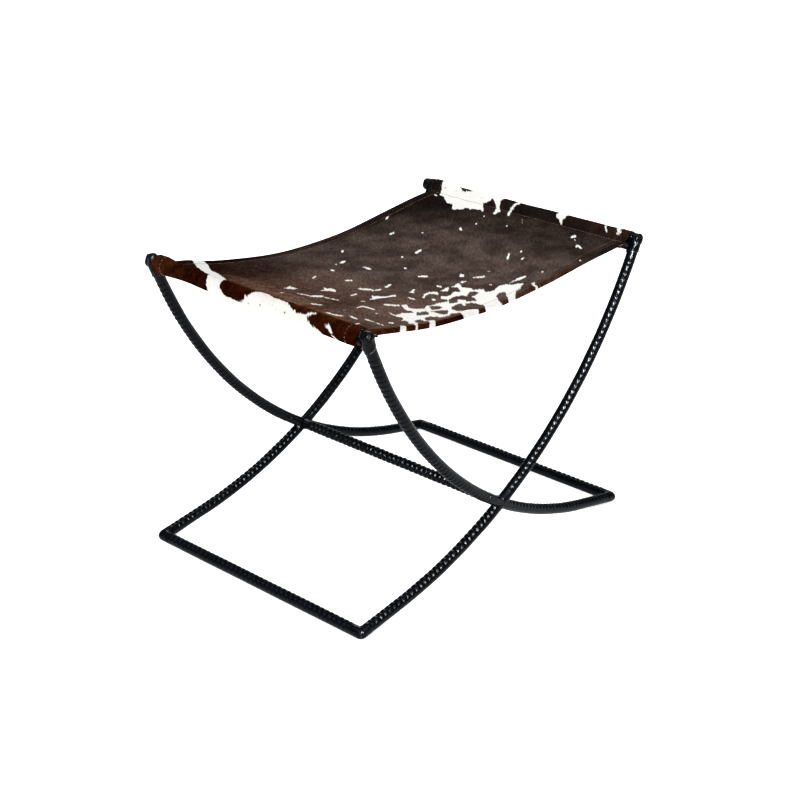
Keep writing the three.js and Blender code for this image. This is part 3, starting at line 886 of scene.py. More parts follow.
for name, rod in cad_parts.items():
    if name.endswith("_rod") or name.endswith("_rail"):
        rod.data.materials.clear()
        rod.data.materials.append(rod_steel)

# The hide, as one flat piece: u runs along it from the middle to the right, v from the
# front edge to the rear one. Its middle surface is a section across the stool.
HIDE_THICKNESS = 3.0
POCKET_SLACK = 2.6
POCKET_LEAN = math.radians(60)
SEAM_REACH = 20.0
SEAM_DROP = 4.0
FLAP_LENGTH = 12.0
FLAP_DROP = 0.2
SLING_SAG = 29.5
SLING_SKEW = 8.0
SLING_FLAT_SHARE = 0.3
HIDE_HALF_WIDTH = 194.95
SIDE_DRAW = 5.4
HEM_WIDTH = 20.0
HEM_THICKNESS = 2.7
SEAM_HALF_SPAN = TOP_HALF_SPAN - math.sqrt(SEAM_REACH ** 2 - SEAM_DROP ** 2)
SEAM_HEIGHT = TOP_HEIGHT - SEAM_DROP
SLING_POINTS, POCKET_POINTS, FLAP_POINTS = 500, 160, 30
POCKET_RADIUS = BORE_RADIUS + POCKET_SLACK + HIDE_THICKNESS / 2
POCKET_X = TOP_HALF_SPAN - POCKET_SLACK * math.cos(POCKET_LEAN)
POCKET_Z = TOP_HEIGHT - POCKET_SLACK * math.sin(POCKET_LEAN)


def sling_height(x):
    share = x / SEAM_HALF_SPAN
    rise = (share ** 2 - SLING_FLAT_SHARE * share ** 4) / (1 - SLING_FLAT_SHARE)
    return SEAM_HEIGHT - SLING_SAG * (1 - rise) + SLING_SKEW * (share - share ** 3)


def side_edge(x):
    share = np.clip(x / SEAM_HALF_SPAN, -1, 1)
    return HIDE_HALF_WIDTH - SIDE_DRAW * (1 - share ** 2) ** 2


def half_section(sign):
    """Half of the section, from the middle of the sling round its pocket to the flap."""
    centre = np.array([POCKET_X, POCKET_Z])

    def tangent(z, side):
        away = np.array([SEAM_HALF_SPAN, z]) - centre
        return math.atan2(away[1], away[0]) + side * math.acos(POCKET_RADIUS / np.hypot(*away))

    start = tangent(SEAM_HEIGHT, -1)
    sweep = (start - tangent(SEAM_HEIGHT - HIDE_THICKNESS, 1)) % (2 * math.pi)
    sling_x = np.linspace(0, SEAM_HALF_SPAN, SLING_POINTS)
    turn = start - sweep * np.linspace(0, 1, POCKET_POINTS)
    share = np.linspace(0, 1, FLAP_POINTS)
    flap_x = SEAM_HALF_SPAN - FLAP_LENGTH * share
    flap_z = sling_height(sign * flap_x) - HIDE_THICKNESS - FLAP_DROP * share
    points = np.concatenate([np.stack([sling_x, sling_height(sign * sling_x)], -1),
                             centre + POCKET_RADIUS * np.stack([np.cos(turn), np.sin(turn)], -1),
                             np.stack([flap_x, flap_z], -1)])
    length = np.concatenate([[0], np.cumsum(np.hypot(*np.diff(points, axis=0).T))])
    return length, points * (sign, 1)


SECTION_STEP = 0.5
SEAM_ROUNDING = 2.2


def follow(at, places, pairs):
    """The pairs of a table at these places along it."""
    return np.stack([np.interp(at, places, pairs[:, k]) for k in range(2)], -1)


def whole_section():
    """The section as evenly spaced points, softened where it turns at the two seams."""
    right_length, right = half_section(1)
    left_length, left = half_section(-1)
    u = np.arange(-left_length[-1], right_length[-1], SECTION_STEP)
    line = np.where(u[:, None] >= 0, follow(np.abs(u), right_length, right),
                    follow(np.abs(u), left_length, left))
    reach = int(4 * SEAM_ROUNDING / SECTION_STEP)
    weights = np.exp(-0.5 * (np.arange(-reach, reach + 1) * SECTION_STEP / SEAM_ROUNDING) ** 2)
    weights /= weights.sum()
    padded = np.pad(line, ((reach, reach), (0, 0)), mode="reflect", reflect_type="odd")
    line = np.stack([np.convolve(column, weights, mode="valid") for column in padded.T], -1)
    slope = np.gradient(line, axis=0)
    slope /= np.hypot(slope[:, 0], slope[:, 1])[:, None]
    return u, line, np.stack([-slope[:, 1], slope[:, 0]], -1)


SECTION_U, SECTION_LINE, SECTION_NORMAL = whole_section()
LEFT_END, RIGHT_END = SECTION_U[0], SECTION_U[-1]
SEAM_U = 289.2


def section_at(u):
    line, normal = (follow(u, SECTION_U, pairs) for pairs in (SECTION_LINE, SECTION_NORMAL))
    return line, normal / np.hypot(normal[..., 0], normal[..., 1])[..., None]


HEM_THREAD_IN = 17.5
MOUTH_REACH = 2.2


def hide_wrinkles(u, v):
    """How far the hide stands off its even shape: slow waves, and puckers at the seams."""
    out, from_edge = np.abs(u), HIDE_HALF_WIDTH - np.abs(v)
    slow = 0.5 * np.sin(u / 47 + v / 90 + 1.0) * np.sin(v / 61 - u / 170)
    slow = slow + 0.35 * np.sin(u / 23 - v / 38 + 0.4) * np.sin(v / 29 + 2.1)
    slow = slow + 0.9 * hill(from_edge, 8, 7) - 0.8 * hill(from_edge, HEM_THREAD_IN, 2.4)
    puckers = 0.35 * np.sin(v / 4.6 + 2.2 * np.sin(v / 31)) * (0.6 + 0.4 * np.sin(v / 57))
    on_pocket = ramp(out, SEAM_U, 12)
    loose = 0.45 * on_pocket * np.sin(v / 19 + out / 9 + 0.8) * np.sin(v / 53 + 1.7)
    mouth = ramp(out, SEAM_U + 6, 14) * ramp(np.abs(v), 145, 38)
    at_rear, at_left = ramp(v, -75, 150), ramp(-u, -100, 200)
    top, under = at_rear * hill(out, 309, 19), (1 - at_rear) * hill(out, 340, 16)
    puff = at_left * (0.6 + 3.6 * top) + (1 - at_left) * (0.8 + 3.2 * top + 4.6 * under)
    return slow * (1 - on_pocket) + hill(out, SEAM_U, 14) * puckers + loose + puff * mouth


def hide_droop(u, v):
    """Extra slack of the left pocket under its rail, and the lifted rear left corner."""
    low = ramp(-u, 318, 18) * (1 - ramp(-u, 352, 14))
    droop = low * (2.2 * ramp(-v, -23, 140) - 2.5 * ramp(v, 50, 90))
    return droop + 3.2 * ramp(v, 150, 40) * hill(u, -262, 34)


def hide_point(u, v, lift):
    """A point of the hide at flat u and v, lifted off its middle surface."""
    line, normal = section_at(u)
    off = lift + hide_wrinkles(u, v) + hide_droop(u, v)
    sling = 1 - ramp(np.abs(u), SEAM_U, 10)
    y = v * (1 + (side_edge(line[..., 0]) / HIDE_HALF_WIDTH - 1) * sling)
    y = y + np.sign(v) * (1 - sling) * ramp(np.abs(v), 120, 75) * MOUTH_REACH
    return xyz(line[..., 0] + normal[..., 0] * off, y, line[..., 1] + normal[..., 1] * off)


HIDE_COLUMNS = 400
HIDE_TOP_ROWS = 180
HIDE_UNDER_ROWS = 44
RIM_STEPS = 6


def hide_mesh():
    """The closed mesh of the hide, as one loop of points round each column."""
    u = np.linspace(LEFT_END, RIGHT_END, HIDE_COLUMNS + 1)
    between_flaps = smooth_step((SEAM_U - FLAP_LENGTH - 1.5 - np.abs(u)) / 2)
    half = HIDE_THICKNESS / 2
    hem_inner = HIDE_HALF_WIDTH - HEM_WIDTH
    steps = np.array([hem_inner + 0.5, hem_inner - 0.5])
    arc = np.linspace(math.pi / 2, -math.pi / 2, RIM_STEPS + 2)[1:-1]
    loops_v, loops_lift = [], []
    for hem in HEM_THICKNESS * between_flaps:
        rim = (HIDE_THICKNESS + hem) / 2
        reach = HIDE_HALF_WIDTH - rim
        top = np.linspace(-reach, reach, HIDE_TOP_ROWS)
        rear_v = reach + rim * np.cos(arc)
        rim_lift = half - rim + rim * np.sin(arc)
        under = np.concatenate([reach * np.linspace(-1, 1, HIDE_UNDER_ROWS), steps, -steps])
        under = np.sort(under)[::-1]
        under_lift = -half - hem * smooth_step(np.abs(under) - hem_inner + 0.5)
        loops_v.append(np.concatenate([top, rear_v, under, -rear_v[::-1]]))
        over_lift = np.full(HIDE_TOP_ROWS, half)
        loops_lift.append(np.concatenate([over_lift, rim_lift, under_lift, rim_lift[::-1]]))
    v, lift = np.array(loops_v), np.array(loops_lift)
    u = np.broadcast_to(u[:, None], v.shape)
    count = v.shape[1]
    faces = grid_quads(HIDE_COLUMNS + 1, count)
    faces += [list(range(first, first + count)) for first in (0, HIDE_COLUMNS * count)]
    return u, v, lift, hide_point(u, v, lift), faces


# White patches in the brown coat, as outlines on the flat hide (u, v)
WHITE_PATCHES = [
    # The band across the rear left corner
    [(-246, 200), (-227, 203), (-231, 188), (-236, 172), (-247, 156), (-256, 142), (-257, 130), (-262, 118),
     (-272, 96), (-285, 82), (-298, 64), (-308, 60), (-315, 60), (-321, 59), (-325, 57), (-329, 50),
     (-333, 46), (-334, 30), (-334, 12), (-350, 0), (-350, 83), (-335, 83), (-330, 82), (-324, 84),
     (-318, 87), (-310, 92), (-288, 118), (-276, 130), (-272, 144), (-265, 158), (-264, 164), (-256, 180)],
    # The long patch on the outside of the left pocket
    [(-350, 14), (-331, 12), (-326, 8), (-321, 3), (-315, -2), (-311, -3), (-308, -6), (-307, -20),
     (-311, -28), (-313, -38), (-312, -50), (-313, -64), (-318, -74), (-321, -80), (-322, -88),
     (-324, -91), (-322, -95), (-322, -101), (-318, -105), (-314, -119), (-319, -115), (-324, -108),
     (-327, -110), (-329, -116), (-331, -123), (-332, -130), (-335, -136), (-350, -140)],
    # A slash and a line near the front end of the left pocket
    [(-325, -142), (-323, -146), (-325, -151), (-329, -157), (-332, -159), (-330, -152), (-328, -145)],
    [(-334, -155), (-334, -160), (-338, -164), (-341, -166), (-341, -162), (-338, -159)],
    # The network along the front edge
    [(-171, -123), (-174, -138), (-163, -138), (-156, -134), (-153, -138), (-147, -141), (-139, -142),
     (-136, -135), (-140, -130), (-142, -127), (-136, -122), (-131, -116), (-127, -108), (-118, -111),
     (-123, -117), (-128, -124), (-124, -132), (-112, -138), (-98, -132), (-88, -134), (-79, -133),
     (-69, -133), (-59, -137), (-51, -131), (-55, -122), (-45, -114), (-39, -120), (-33, -121), (-26, -118),
     (-19, -115), (-10, -120), (-5, -116), (2, -105), (-3, -98), (5, -98), (12, -95), (16, -97), (8, -108),
     (7, -115), (12, -121), (9, -129), (21, -140), (15, -146), (17, -150), (27, -154), (40, -150),
     (48, -148), (60, -154), (60, -162), (66, -162), (76, -171), (66, -174), (56, -180), (47, -180),
     (38, -186), (26, -194), (26, -215), (-206, -215), (-200, -197), (-190, -189), (-188, -182),
     (-193, -177), (-184, -171), (-183, -163), (-190, -163), (-180, -158), (-174, -151), (-178, -146),
     (-177, -134)],
    # Islands and notches beside it
    [(-61, -92), (-44, -90), (-35, -96), (-38, -103), (-46, -109), (-45, -102), (-49, -96), (-62, -98),
     (-70, -104), (-76, -106), (-71, -100), (-63, -96)],
    [(-31, -100), (-28, -97), (-18, -97), (-12, -94), (-7, -96), (-18, -106)],
    [(62, -154), (76, -152), (90, -151), (100, -156), (91, -159), (77, -156), (70, -154)],
    [(80, -181), (88, -182), (80, -188), (76, -205), (70, -205), (76, -189)],
    [(-218, -183), (-213, -183), (-209, -186), (-217, -195), (-222, -215), (-246, -215), (-234, -199),
     (-226, -192)],
    [(37, -79), (50, -71), (46, -81), (41, -84)],
    [(-224, 29), (-211, 33), (-203, 37), (-204, 31), (-202, 22), (-213, 20)],
    [(-178, 2), (-167, 4), (-155, 16), (-158, 7), (-151, 6), (-152, -6), (-162, -12), (-163, -4)],
    [(-127, -51), (-126, -56), (-116, -62), (-107, -66), (-93, -67), (-99, -74), (-113, -71), (-126, -67),
     (-140, -68), (-145, -65), (-135, -60)],
    [(-68, -72), (-59, -70), (-51, -65), (-52, -70), (-59, -73), (-66, -80)],
    # The patch over the rear end of the right pocket, and the finger beside it
    [(345, 179), (313, 179), (306, 176), (298, 172), (292, 172), (280, 167), (277, 155), (267, 143),
     (258, 131), (259, 127), (259, 121), (243, 109), (241, 101), (248, 99), (246, 93), (254, 94), (262, 90),
     (257, 82), (262, 81), (263, 73), (267, 70), (261, 59), (273, 66), (281, 75), (292, 81), (295, 76),
     (300, 73), (303, 71), (304, 67), (301, 65), (297, 59), (293, 55), (285, 50), (273, 45), (264, 40),
     (265, 36), (274, 38), (280, 36), (288, 45), (296, 50), (302, 52), (308, 52), (345, 52)],
    [(312, 23), (308, 24), (304, 27), (296, 28), (290, 28), (280, 24), (272, 16), (272, 13), (283, 20),
     (292, 23), (301, 23), (305, 21), (309, 18), (345, 16), (345, 24)],
    # Notches in the right pocket
    [(345, -57), (307, -57), (301, -62), (298, -68), (290, -76), (290, -78), (297, -75), (305, -76),
     (310, -76), (345, -80)],
    [(345, -149), (307, -148), (306, -153), (300, -159), (297, -158), (302, -153), (308, -150)],
    [(345, -169), (308, -169), (305, -174), (300, -175), (299, -180), (305, -180), (308, -176), (345, -177)],
]
# Brown left inside the white patches
BROWN_ISLANDS = [
    [(-194, -196), (-184, -187), (-175, -181), (-174, -174), (-166, -168), (-157, -169), (-156, -175),
     (-151, -181), (-167, -195), (-176, -202), (-180, -215), (-202, -215)],
    [(-149, -170), (-138, -166), (-130, -168), (-123, -177), (-108, -181), (-113, -190), (-120, -215),
     (-152, -215), (-156, -197), (-147, -188), (-143, -182), (-152, -177)],
    [(-146, -153), (-135, -144), (-130, -146), (-119, -147), (-119, -150), (-122, -157), (-128, -160),
     (-136, -158)],
    [(-99, -137), (-92, -136), (-85, -140), (-82, -145), (-84, -149), (-92, -152), (-100, -151),
     (-105, -148)],
    [(-112, -152), (-97, -156), (-88, -163), (-92, -167), (-101, -173), (-109, -173), (-111, -169),
     (-111, -162)],
    [(-57, -138), (-51, -134), (-40, -129), (-30, -130), (-20, -133), (-19, -141), (-10, -135), (-2, -132),
     (6, -135), (5, -144), (-7, -146), (-14, -146), (-17, -154), (-21, -160), (-26, -162), (-37, -155),
     (-32, -148), (-39, -141), (-46, -146), (-54, -149), (-62, -144)],
    [(-74, -157), (-66, -156), (-54, -153), (-50, -157), (-54, -161), (-53, -166), (-46, -161), (-36, -162),
     (-30, -175), (-31, -182), (-39, -192), (-46, -215), (-56, -215), (-58, -196), (-53, -191), (-56, -185),
     (-66, -178), (-80, -175), (-81, -164)],
    [(-120, -193), (-114, -188), (-104, -178), (-94, -175), (-84, -181), (-90, -190), (-94, -215),
     (-124, -215)],
    [(10, -172), (19, -167), (30, -166), (32, -171), (28, -177), (22, -181), (19, -186), (12, -193),
     (8, -215), (-2, -215), (-4, -195), (-5, -191), (0, -184), (8, -177)],
    [(311, 143), (311, 132), (310, 115), (307, 122), (304, 126), (304, 132)],
]
# Small white flecks: from (u, v) to (u, v), and how wide
FLECKS = [
    (5, 134, 0, 128, 3.5), (-40, 93, -31, 94, 4), (-51, 93, -50, 92, 1.8), (-77, 78, -75, 71, 1.8),
    (-133, 59, -122, 65, 3), (-30, 55, -29, 41, 2.6), (-100, 26, -92, 20, 2.4), (-225, -1, -216, -18, 1.8),
    (-217, -18, -199, -23, 4), (-202, -25, -194, -49, 1.8), (-252, -52, -241, -62, 2.4),
    (-249, 10, -245, 6, 1.2), (-116, -16, -103, -31, 3), (-108, -34, -89, -37, 2.1),
    (-156, -38, -142, -36, 2.7), (-164, -65, -160, -68, 2), (-199, -89, -182, -85, 1.6),
    (-182, -85, -180, -104, 2.4), (-146, -93, -132, -109, 3), (-75, -32, -60, -29, 3),
    (-267, -94, -266, -108, 2), (-266, -108, -258, -117, 2.3), (-248, -120, -249, -134, 3),
    (-237, -138, -236, -149, 2.1), (-236, -149, -238, -172, 1.6), (-274, -154, -263, -153, 1.6),
    (-216, -163, -213, -168, 3), (-231, -94, -230, -95, 1.4), (-194, -120, -190, -124, 1.4),
    (-192, -142, -191, -142, 1.6), (150, -83, 135, -92, 2.7), (143, -111, 150, -111, 2.3),
    (166, -93, 168, -93, 3.2), (10, 7, 11, 4, 2), (44, 44, 45, 42, 2.3), (70, 39, 83, 38, 3),
    (147, 170, 158, 174, 2.7), (105, 124, 113, 122, 2.3), (138, 83, 139, 83, 2), (184, 42, 185, 42, 5.2),
    (213, 35, 215, 34, 1.6), (246, 45, 248, 45, 2.3), (235, -10, 237, -10, 2), (275, -11, 261, -22, 1.5),
    (256, -120, 265, -122, 3.4), (253, -129, 241, -141, 1.2), (228, -150, 237, -147, 2.8),
    (234, -149, 230, -159, 3), (124, -165, 128, -166, 1.9), (187, -188, 189, -189, 1.5),
    (101, -126, 102, -127, 1.6), (81, -99, 83, -99, 1.6), (48, -98, 62, -108, 2.3), (21, -96, 30, -98, 2.4),
    (-2, -33, 6, -42, 2.9), (-14, -80, -13, -86, 2.4), (-89, -88, -89, -101, 2.4),
    (-67, -116, -66, -120, 2.9), (41, -134, 43, -137, 1.4), (274, 172, 274, 167, 2.5),
]
# Dark and grey specks in the white: (u, v), how wide, how dark
SPECKS = [
    (-332, 0, 1.2, 0.9), (-328.5, -22.6, 1.5, 0.95), (-324, -45, 0.9, 0.5), (-327, -70, 1.5, 0.95),
    (-316, -40, 0.8, 0.4), (-337, -30, 0.8, 0.4), (301, 166, 1.5, 0.6), (301, 144, 1.2, 0.5),
    (286, 148, 1.2, 0.5), (296, 120, 1.0, 0.4), (300, 90, 1.2, 0.5), (-196, -187, 1.0, 0.6),
]


# The coat is drawn out along the lie of the hair, so patches and their frayed edges are
# measured with that direction shortened
LIE_TURN = math.radians(42)
LIE_STRETCH = 3.0


def on_lie(u, v):
    along = u * math.cos(LIE_TURN) + v * math.sin(LIE_TURN)
    return along / LIE_STRETCH, v * math.cos(LIE_TURN) - u * math.sin(LIE_TURN)


def edge_distance(u, v, start, end):
    """Distance to the straight line from start to end, and the share of it reached."""
    (u0, v0), (u1, v1) = start, end
    du, dv = u1 - u0, v1 - v0
    share = np.clip(((u - u0) * du + (v - v0) * dv) / max(du * du + dv * dv, 1e-9), 0, 1)
    return np.hypot(u - u0 - share * du, v - v0 - share * dv), share


def inside_distance(u, v, outline):
    """Distance to an outline, positive inside it."""
    corners = np.stack(on_lie(*np.array(outline, float).T), -1)
    distance = np.full(u.shape, 1e9)
    inside = np.zeros(u.shape, bool)
    for start, end in zip(corners, np.roll(corners, -1, axis=0)):
        distance = np.minimum(distance, edge_distance(u, v, start, end)[0])
        if end[1] != start[1]:
            slope = (end[0] - start[0]) / (end[1] - start[1])
            inside ^= ((start[1] > v) != (end[1] > v)) & (u < start[0] + (v - start[1]) * slope)
    return np.where(inside, distance, -distance)


def fleck_distance(u, v, fleck):
    away, share = edge_distance(u, v, on_lie(*fleck[0:2]), on_lie(*fleck[2:4]))
    return fleck[4] * 0.47 * (0.72 + 0.28 * np.sin(math.pi * share)) - away


def whiteness(u, v):
    """How deep a place lies in the white, in millimetres, and below zero in the brown."""
    u, v = on_lie(u, v)
    white = np.full(u.shape, -1e9)
    for outline in WHITE_PATCHES:
        white = np.maximum(white, inside_distance(u, v, outline))
    for outline in BROWN_ISLANDS:
        white = np.minimum(white, -inside_distance(u, v, outline))
    for fleck in FLECKS:
        white = np.maximum(white, fleck_distance(u, v, fleck))
    return white


def hide_tones(u, v):
    """How far the brown coat turns red, dark, tawny and pale at each place. Some of the tawny is a painted
    highlight, and some of the pale is painted light.
    """
    out = np.abs(u)
    on_sling = 1 - ramp(out, SEAM_U, 6)
    front_rim = ramp(-v, 186, 7)
    rim = front_rim * on_sling * ramp(-u, -195, 50)
    rim_right = ramp(u, -90, 60)
    left_side = ramp(-v, -150, 60)
    # Red towards the left, on the left pocket and along the front rim, less on the sling's front
    red = 0.8 * ramp(-u, 60, 210) + 0.2 * ramp(-v, 110, 60) * ramp(-u, -60, 200)
    red = red + ramp(-u, 270, 40) + rim * (1 - 0.4 * rim_right)
    red = red * (1 - 0.7 * ramp(-v, 60, 60) * ramp(u, -285, 20) * ramp(v, -190, 8))
    rear_strip = ramp(v, 174 - 10 * ramp(u, -60, 260), 8) * on_sling * ramp(u, -270, 60)
    # Dark towards the right and the rear, most on the right pocket and along the rear edge
    dark = 0.7 * ramp(u, 130, 120) + 0.5 * ramp(u, 278, 16) + 0.55 * rear_strip
    dark = dark + 0.5 * front_rim * ramp(u, 200, 50)
    dark = dark * (1 - 0.22 * ramp(-v, 80, 60) * ramp(u, 270, 20))
    dark = dark + 0.5 * ramp(v, 40, 130) * (0.4 + 0.6 * ramp(out, 60, 120))
    # Tawny along the front rim and on parts of both pockets, and a painted highlight beside the left seam and
    # on top of the left pocket's front end, where the hide bulges up into the light
    # Painted highlight: the lit bulge of the hide along the left seam
    tawny_and_highlight = hill(u, -284, 20) * ramp(-v, -95, 90) * ramp(v, -165, 50)
    tawny_and_highlight = tawny_and_highlight + 0.24 * ramp(-v, 184, 5) * ramp(-u, 120, 80) * on_sling + 0.2 * rim * rim_right
    # Its last term is a painted highlight on the top of the left pocket's front end, lighter than the
    # pocket's lower side
    tawny_and_highlight = tawny_and_highlight + 0.27 * ramp(v, 100, 90) * ramp(-u, 292, 14) + 0.32 * ramp(-v, 50, 70) * hill(u, -303, 15)
    tawny_and_highlight = tawny_and_highlight + 0.12 * hill(u, -245, 40) * left_side * ramp(v, -60, 60)
    tawny_and_highlight = tawny_and_highlight + 0.08 * ramp(-v, 80, 60) * ramp(u, 285, 15)
    left_wall_tone_and_light = ramp(-u, 40, 60) * ramp(v, -75, 42) * (1 - ramp(v, 50, 70)) * on_sling
    # Pale on the left half of the sling, at its front and where it climbs to the rail; on the climb the pale
    # is also painted light, raised most towards the left rail, to brighten that slope
    pale = hill(u, -170, 130) * ramp(-v, 35, 70) * on_sling * ramp(v, -191, 6)
    pale = pale + (0.72 + 0.5 * ramp(-u, 200, 40) * ramp(-v, -20, 30)) * left_wall_tone_and_light
    pale = pale + 0.5 * hill(u, -258, 25) * left_side * ramp(v, -150, 60)
    # The pale may reach 1.5 for the painted light on the left climb
    return [np.clip(share, 0, most) for share, most in ((red, 1), (dark, 1), (tawny_and_highlight, 1), (pale, 1.5))]


HAIR_LENGTHS = (0.0045, 0.0005, 1)
LOCK_LENGTHS = (0.012, 0.0034, 1)
# Greyish browns: the hair's own brown with its soft sheen painted in, as the hide is given no gloss of its
# own
BROWNS_WITH_PAINTED_SHEEN = ((0.047, 0.0348, 0.0305), (0.09, 0.069, 0.061))
# The tones that change the plain brown, in this order: name, greatest share, colour. The tawny also carries
# painted highlights, and the pale some painted light.
COAT_TONES = (("red", 0.97, (0.024, 0.0042, 0.0006)), ("dark", 0.85, (0.006, 0.0042, 0.0036)),
              ("tawny_and_highlight", 0.8, (0.15, 0.058, 0.018)), ("pale", 0.52, (0.165, 0.112, 0.09)))


def hair_material():
    """Short cow hair, lying one way, brown with white patches that fray at their edge."""
    material, tree, shader = new_material("hair_on_hide")
    flat = flat_place(tree)
    hairs = noise(tree, stretch(tree, flat, HAIR_LENGTHS, (0, 0, LIE_TURN)), 1, 2, 0.6)
    locks = noise(tree, stretch(tree, flat, LOCK_LENGTHS, (0, 0, LIE_TURN)), 1, 3, 0.6)
    clouds = noise(tree, flat, 22, 4, 0.55)
    red = point_value(tree, "red_tone")
    ragged = product(tree, calc(tree, "SUBTRACT", locks, 0.5), 5.0)
    frayed = product(tree, calc(tree, "SUBTRACT", hairs, 0.5), 1.6)
    edge = calc(tree, "ADD", calc(tree, "ADD", point_value(tree, "white_reach"), ragged), frayed)

    brown = blend_colour(tree, remap(tree, clouds, 0.35, 0.65), *BROWNS_WITH_PAINTED_SHEEN)
    for name, most, colour in COAT_TONES:
        share = product(tree, point_value(tree, f"{name}_tone"), most)
        brown = blend_colour(tree, share, brown, colour)
    patchy = product(tree, red, remap(tree, noise(tree, flat, 75, 3, 0.6), 0.42, 0.6))
    # The last tint lightens the brown along the hair streaks: partly lighter hair tips, partly painted
    # highlights on the hair
    for share, tint in ((patchy, (0.55, 0.45, 0.4)), (remap(tree, locks, 0.3, 0.7), (0.62, 0.58, 0.56)),
                        (remap(tree, hairs, 0.4, 0.8), (2.0, 1.95, 1.9))):
        brown = blend_colour(tree, share, brown, tint, "MULTIPLY")

    cream = blend_colour(tree, remap(tree, clouds, 0.3, 0.7), (0.7, 0.695, 0.67), (0.66, 0.645, 0.61))
    grey = remap(tree, noise(tree, flat, 240, 3, 0.6), 0.6, 0.7, 0.0, 0.55)
    cream = blend_colour(tree, grey, cream, (0.42, 0.39, 0.34))
    for place_u, place_v, width, share in SPECKS:
        centre = (place_u * MM, place_v * MM, 0)
        away = result(tree, "ShaderNodeVectorMath", {0: flat, 1: centre}, "Value", operation="DISTANCE")
        spot = remap(tree, away, width * 0.5 * MM, width * 1.2 * MM, share, 0.0)
        cream = blend_colour(tree, spot, cream, (0.05, 0.035, 0.025))
    cream = blend_colour(tree, remap(tree, hairs, 0.5, 0.85, 0.0, 0.2), cream, (0.42, 0.4, 0.36))
    cream = blend_colour(tree, product(tree, red, 0.13), cream, (0.0, 0.0, 0.0))
    wire(tree, shader, {
        "Base Color": blend_colour(tree, remap(tree, edge, -0.4, 0.4), brown, cream),
        "Roughness": remap(tree, locks, 0.2, 0.8, 0.55, 0.75),
        "Normal": bump(tree, hairs, 0.0003, 0.55, bump(tree, locks, 0.0006, 0.5)),
        "Specular IOR Level": 0.0,
    })
    return material


def flesh_material():
    """The suede flesh side of the hide: dark brown, fibrous and blotchy; its darkness is partly its own
    colour and partly painted shade for the mouths of the pockets.
    """
    material, tree, shader = new_material("flesh_side")
    flat = flat_place(tree)
    blotches = noise(tree, flat, 30, 5, 0.6)
    fibres = noise(tree, flat, 900, 4, 0.7, 0.6)
    # Dark browns, partly painted shade inside the mouths of the pockets
    colour = blend_colour(tree, remap(tree, blotches, 0.3, 0.7), (0.05, 0.034, 0.024), (0.09, 0.064, 0.046))
    pile = remap(tree, fibres, 0.4, 0.8, 0.0, 0.5)
    wire(tree, shader, {
        "Base Color": blend_colour(tree, pile, colour, (0.14, 0.105, 0.08)),
        "Normal": bump(tree, fibres, 0.0005, 0.6),
        "Roughness": 0.92,
        "Sheen Weight": 0.3,
    })
    return material


def make_hide():
    u, v, lift, points, faces = hide_mesh()
    piece = mesh_object("seat_hide_sling", points.reshape(-1, 3), faces, hair_material())
    mesh = piece.data
    mesh.materials.append(flesh_material())
    u, v, lift = u.ravel(), v.ravel(), lift.ravel()
    add_number(mesh, "white_reach", whiteness(u, v))
    for (name, *_), shares in zip(COAT_TONES, hide_tones(u, v)):
        add_number(mesh, f"{name}_tone", shares)
    corners = values_of(mesh.loops, "vertex_index", 1, int)
    flat = mesh.uv_layers.new(name="flat")
    flat.data.foreach_set("uv", (np.stack([u[corners], v[corners]], -1) * MM).ravel())
    starts = values_of(mesh.polygons, "loop_start", 1, int)
    lowest = np.maximum.reduceat(lift[corners], starts)
    inner = np.maximum.reduceat(np.abs(v[corners]), starts) < HIDE_HALF_WIDTH - HEM_WIDTH + 0.1
    on_flap = np.abs(u[corners][starts]) > SEAM_U - FLAP_LENGTH
    rough = (lowest <= -HIDE_THICKNESS / 2 + 0.01) & (inner | on_flap)
    mesh.polygons.foreach_set("material_index", rough.astype(np.int32))
    return dress(piece, "seat_hide", "seat_hide")


seat = make_hide()

# Thread: short stitches along both hems, on round the pockets, and along the pocket seams
THREAD_PITCH = 4.4
THREAD = {"Arc_Radius": 2.6 * MM, "Half_Angle": math.radians(38), "Width": 0.85 * MM,
          "Thickness": 0.85 * MM, "Tilt": math.radians(5), "Arc_Steps": 6}
THREAD_SINK = 2.4
POCKET_THREAD_IN = 2.2
THREAD_MARGIN = 4.0


def stitch_run(u, v, lift):
    """Centres and directions of stitches that follow a line of flat u and v."""
    here = hide_point(u, v, lift)
    out, ahead = hide_point(u, v, lift + 1) - here, np.gradient(here, axis=0)
    out /= np.linalg.norm(out, axis=-1)[:, None]
    ahead /= np.linalg.norm(ahead, axis=-1)[:, None]
    side = np.sign(lift)
    return here - out * THREAD_SINK * side, out * side, np.cross(ahead, out)


def sew_thread(seam, runs, seed):
    centres, out, axis = (np.concatenate(parts) for parts in zip(*runs))
    piece = sew(f"{seam}_stitches", centres, out, axis, hem_thread, Seed=seed, **THREAD)
    return dress(piece, "thread", f"{seam}_thread")


def hem_stitches(side, sign, seed):
    margin = FLAP_LENGTH + THREAD_MARGIN
    u = np.arange(LEFT_END + margin, RIGHT_END - margin, THREAD_PITCH)
    v = np.full(len(u), sign * (HIDE_HALF_WIDTH - HEM_THREAD_IN)) + 0.4 * np.sin(u / 31)
    between = np.abs(u) < SEAM_U - margin
    runs = [stitch_run(u, v, HIDE_THICKNESS / 2),
            stitch_run(u[between], v[between], -HIDE_THICKNESS / 2 - HEM_THICKNESS)]
    return sew_thread(f"{side}_hem", runs, seed)


def pocket_stitches(side, sign, seed):
    v = np.arange(THREAD_MARGIN - HIDE_HALF_WIDTH, HIDE_HALF_WIDTH - THREAD_MARGIN, THREAD_PITCH)
    u = np.full(len(v), sign * (SEAM_U - POCKET_THREAD_IN)) + 0.3 * np.sin(v / 27)
    return sew_thread(f"{side}_pocket", [stitch_run(u, v, HIDE_THICKNESS / 2)], seed)


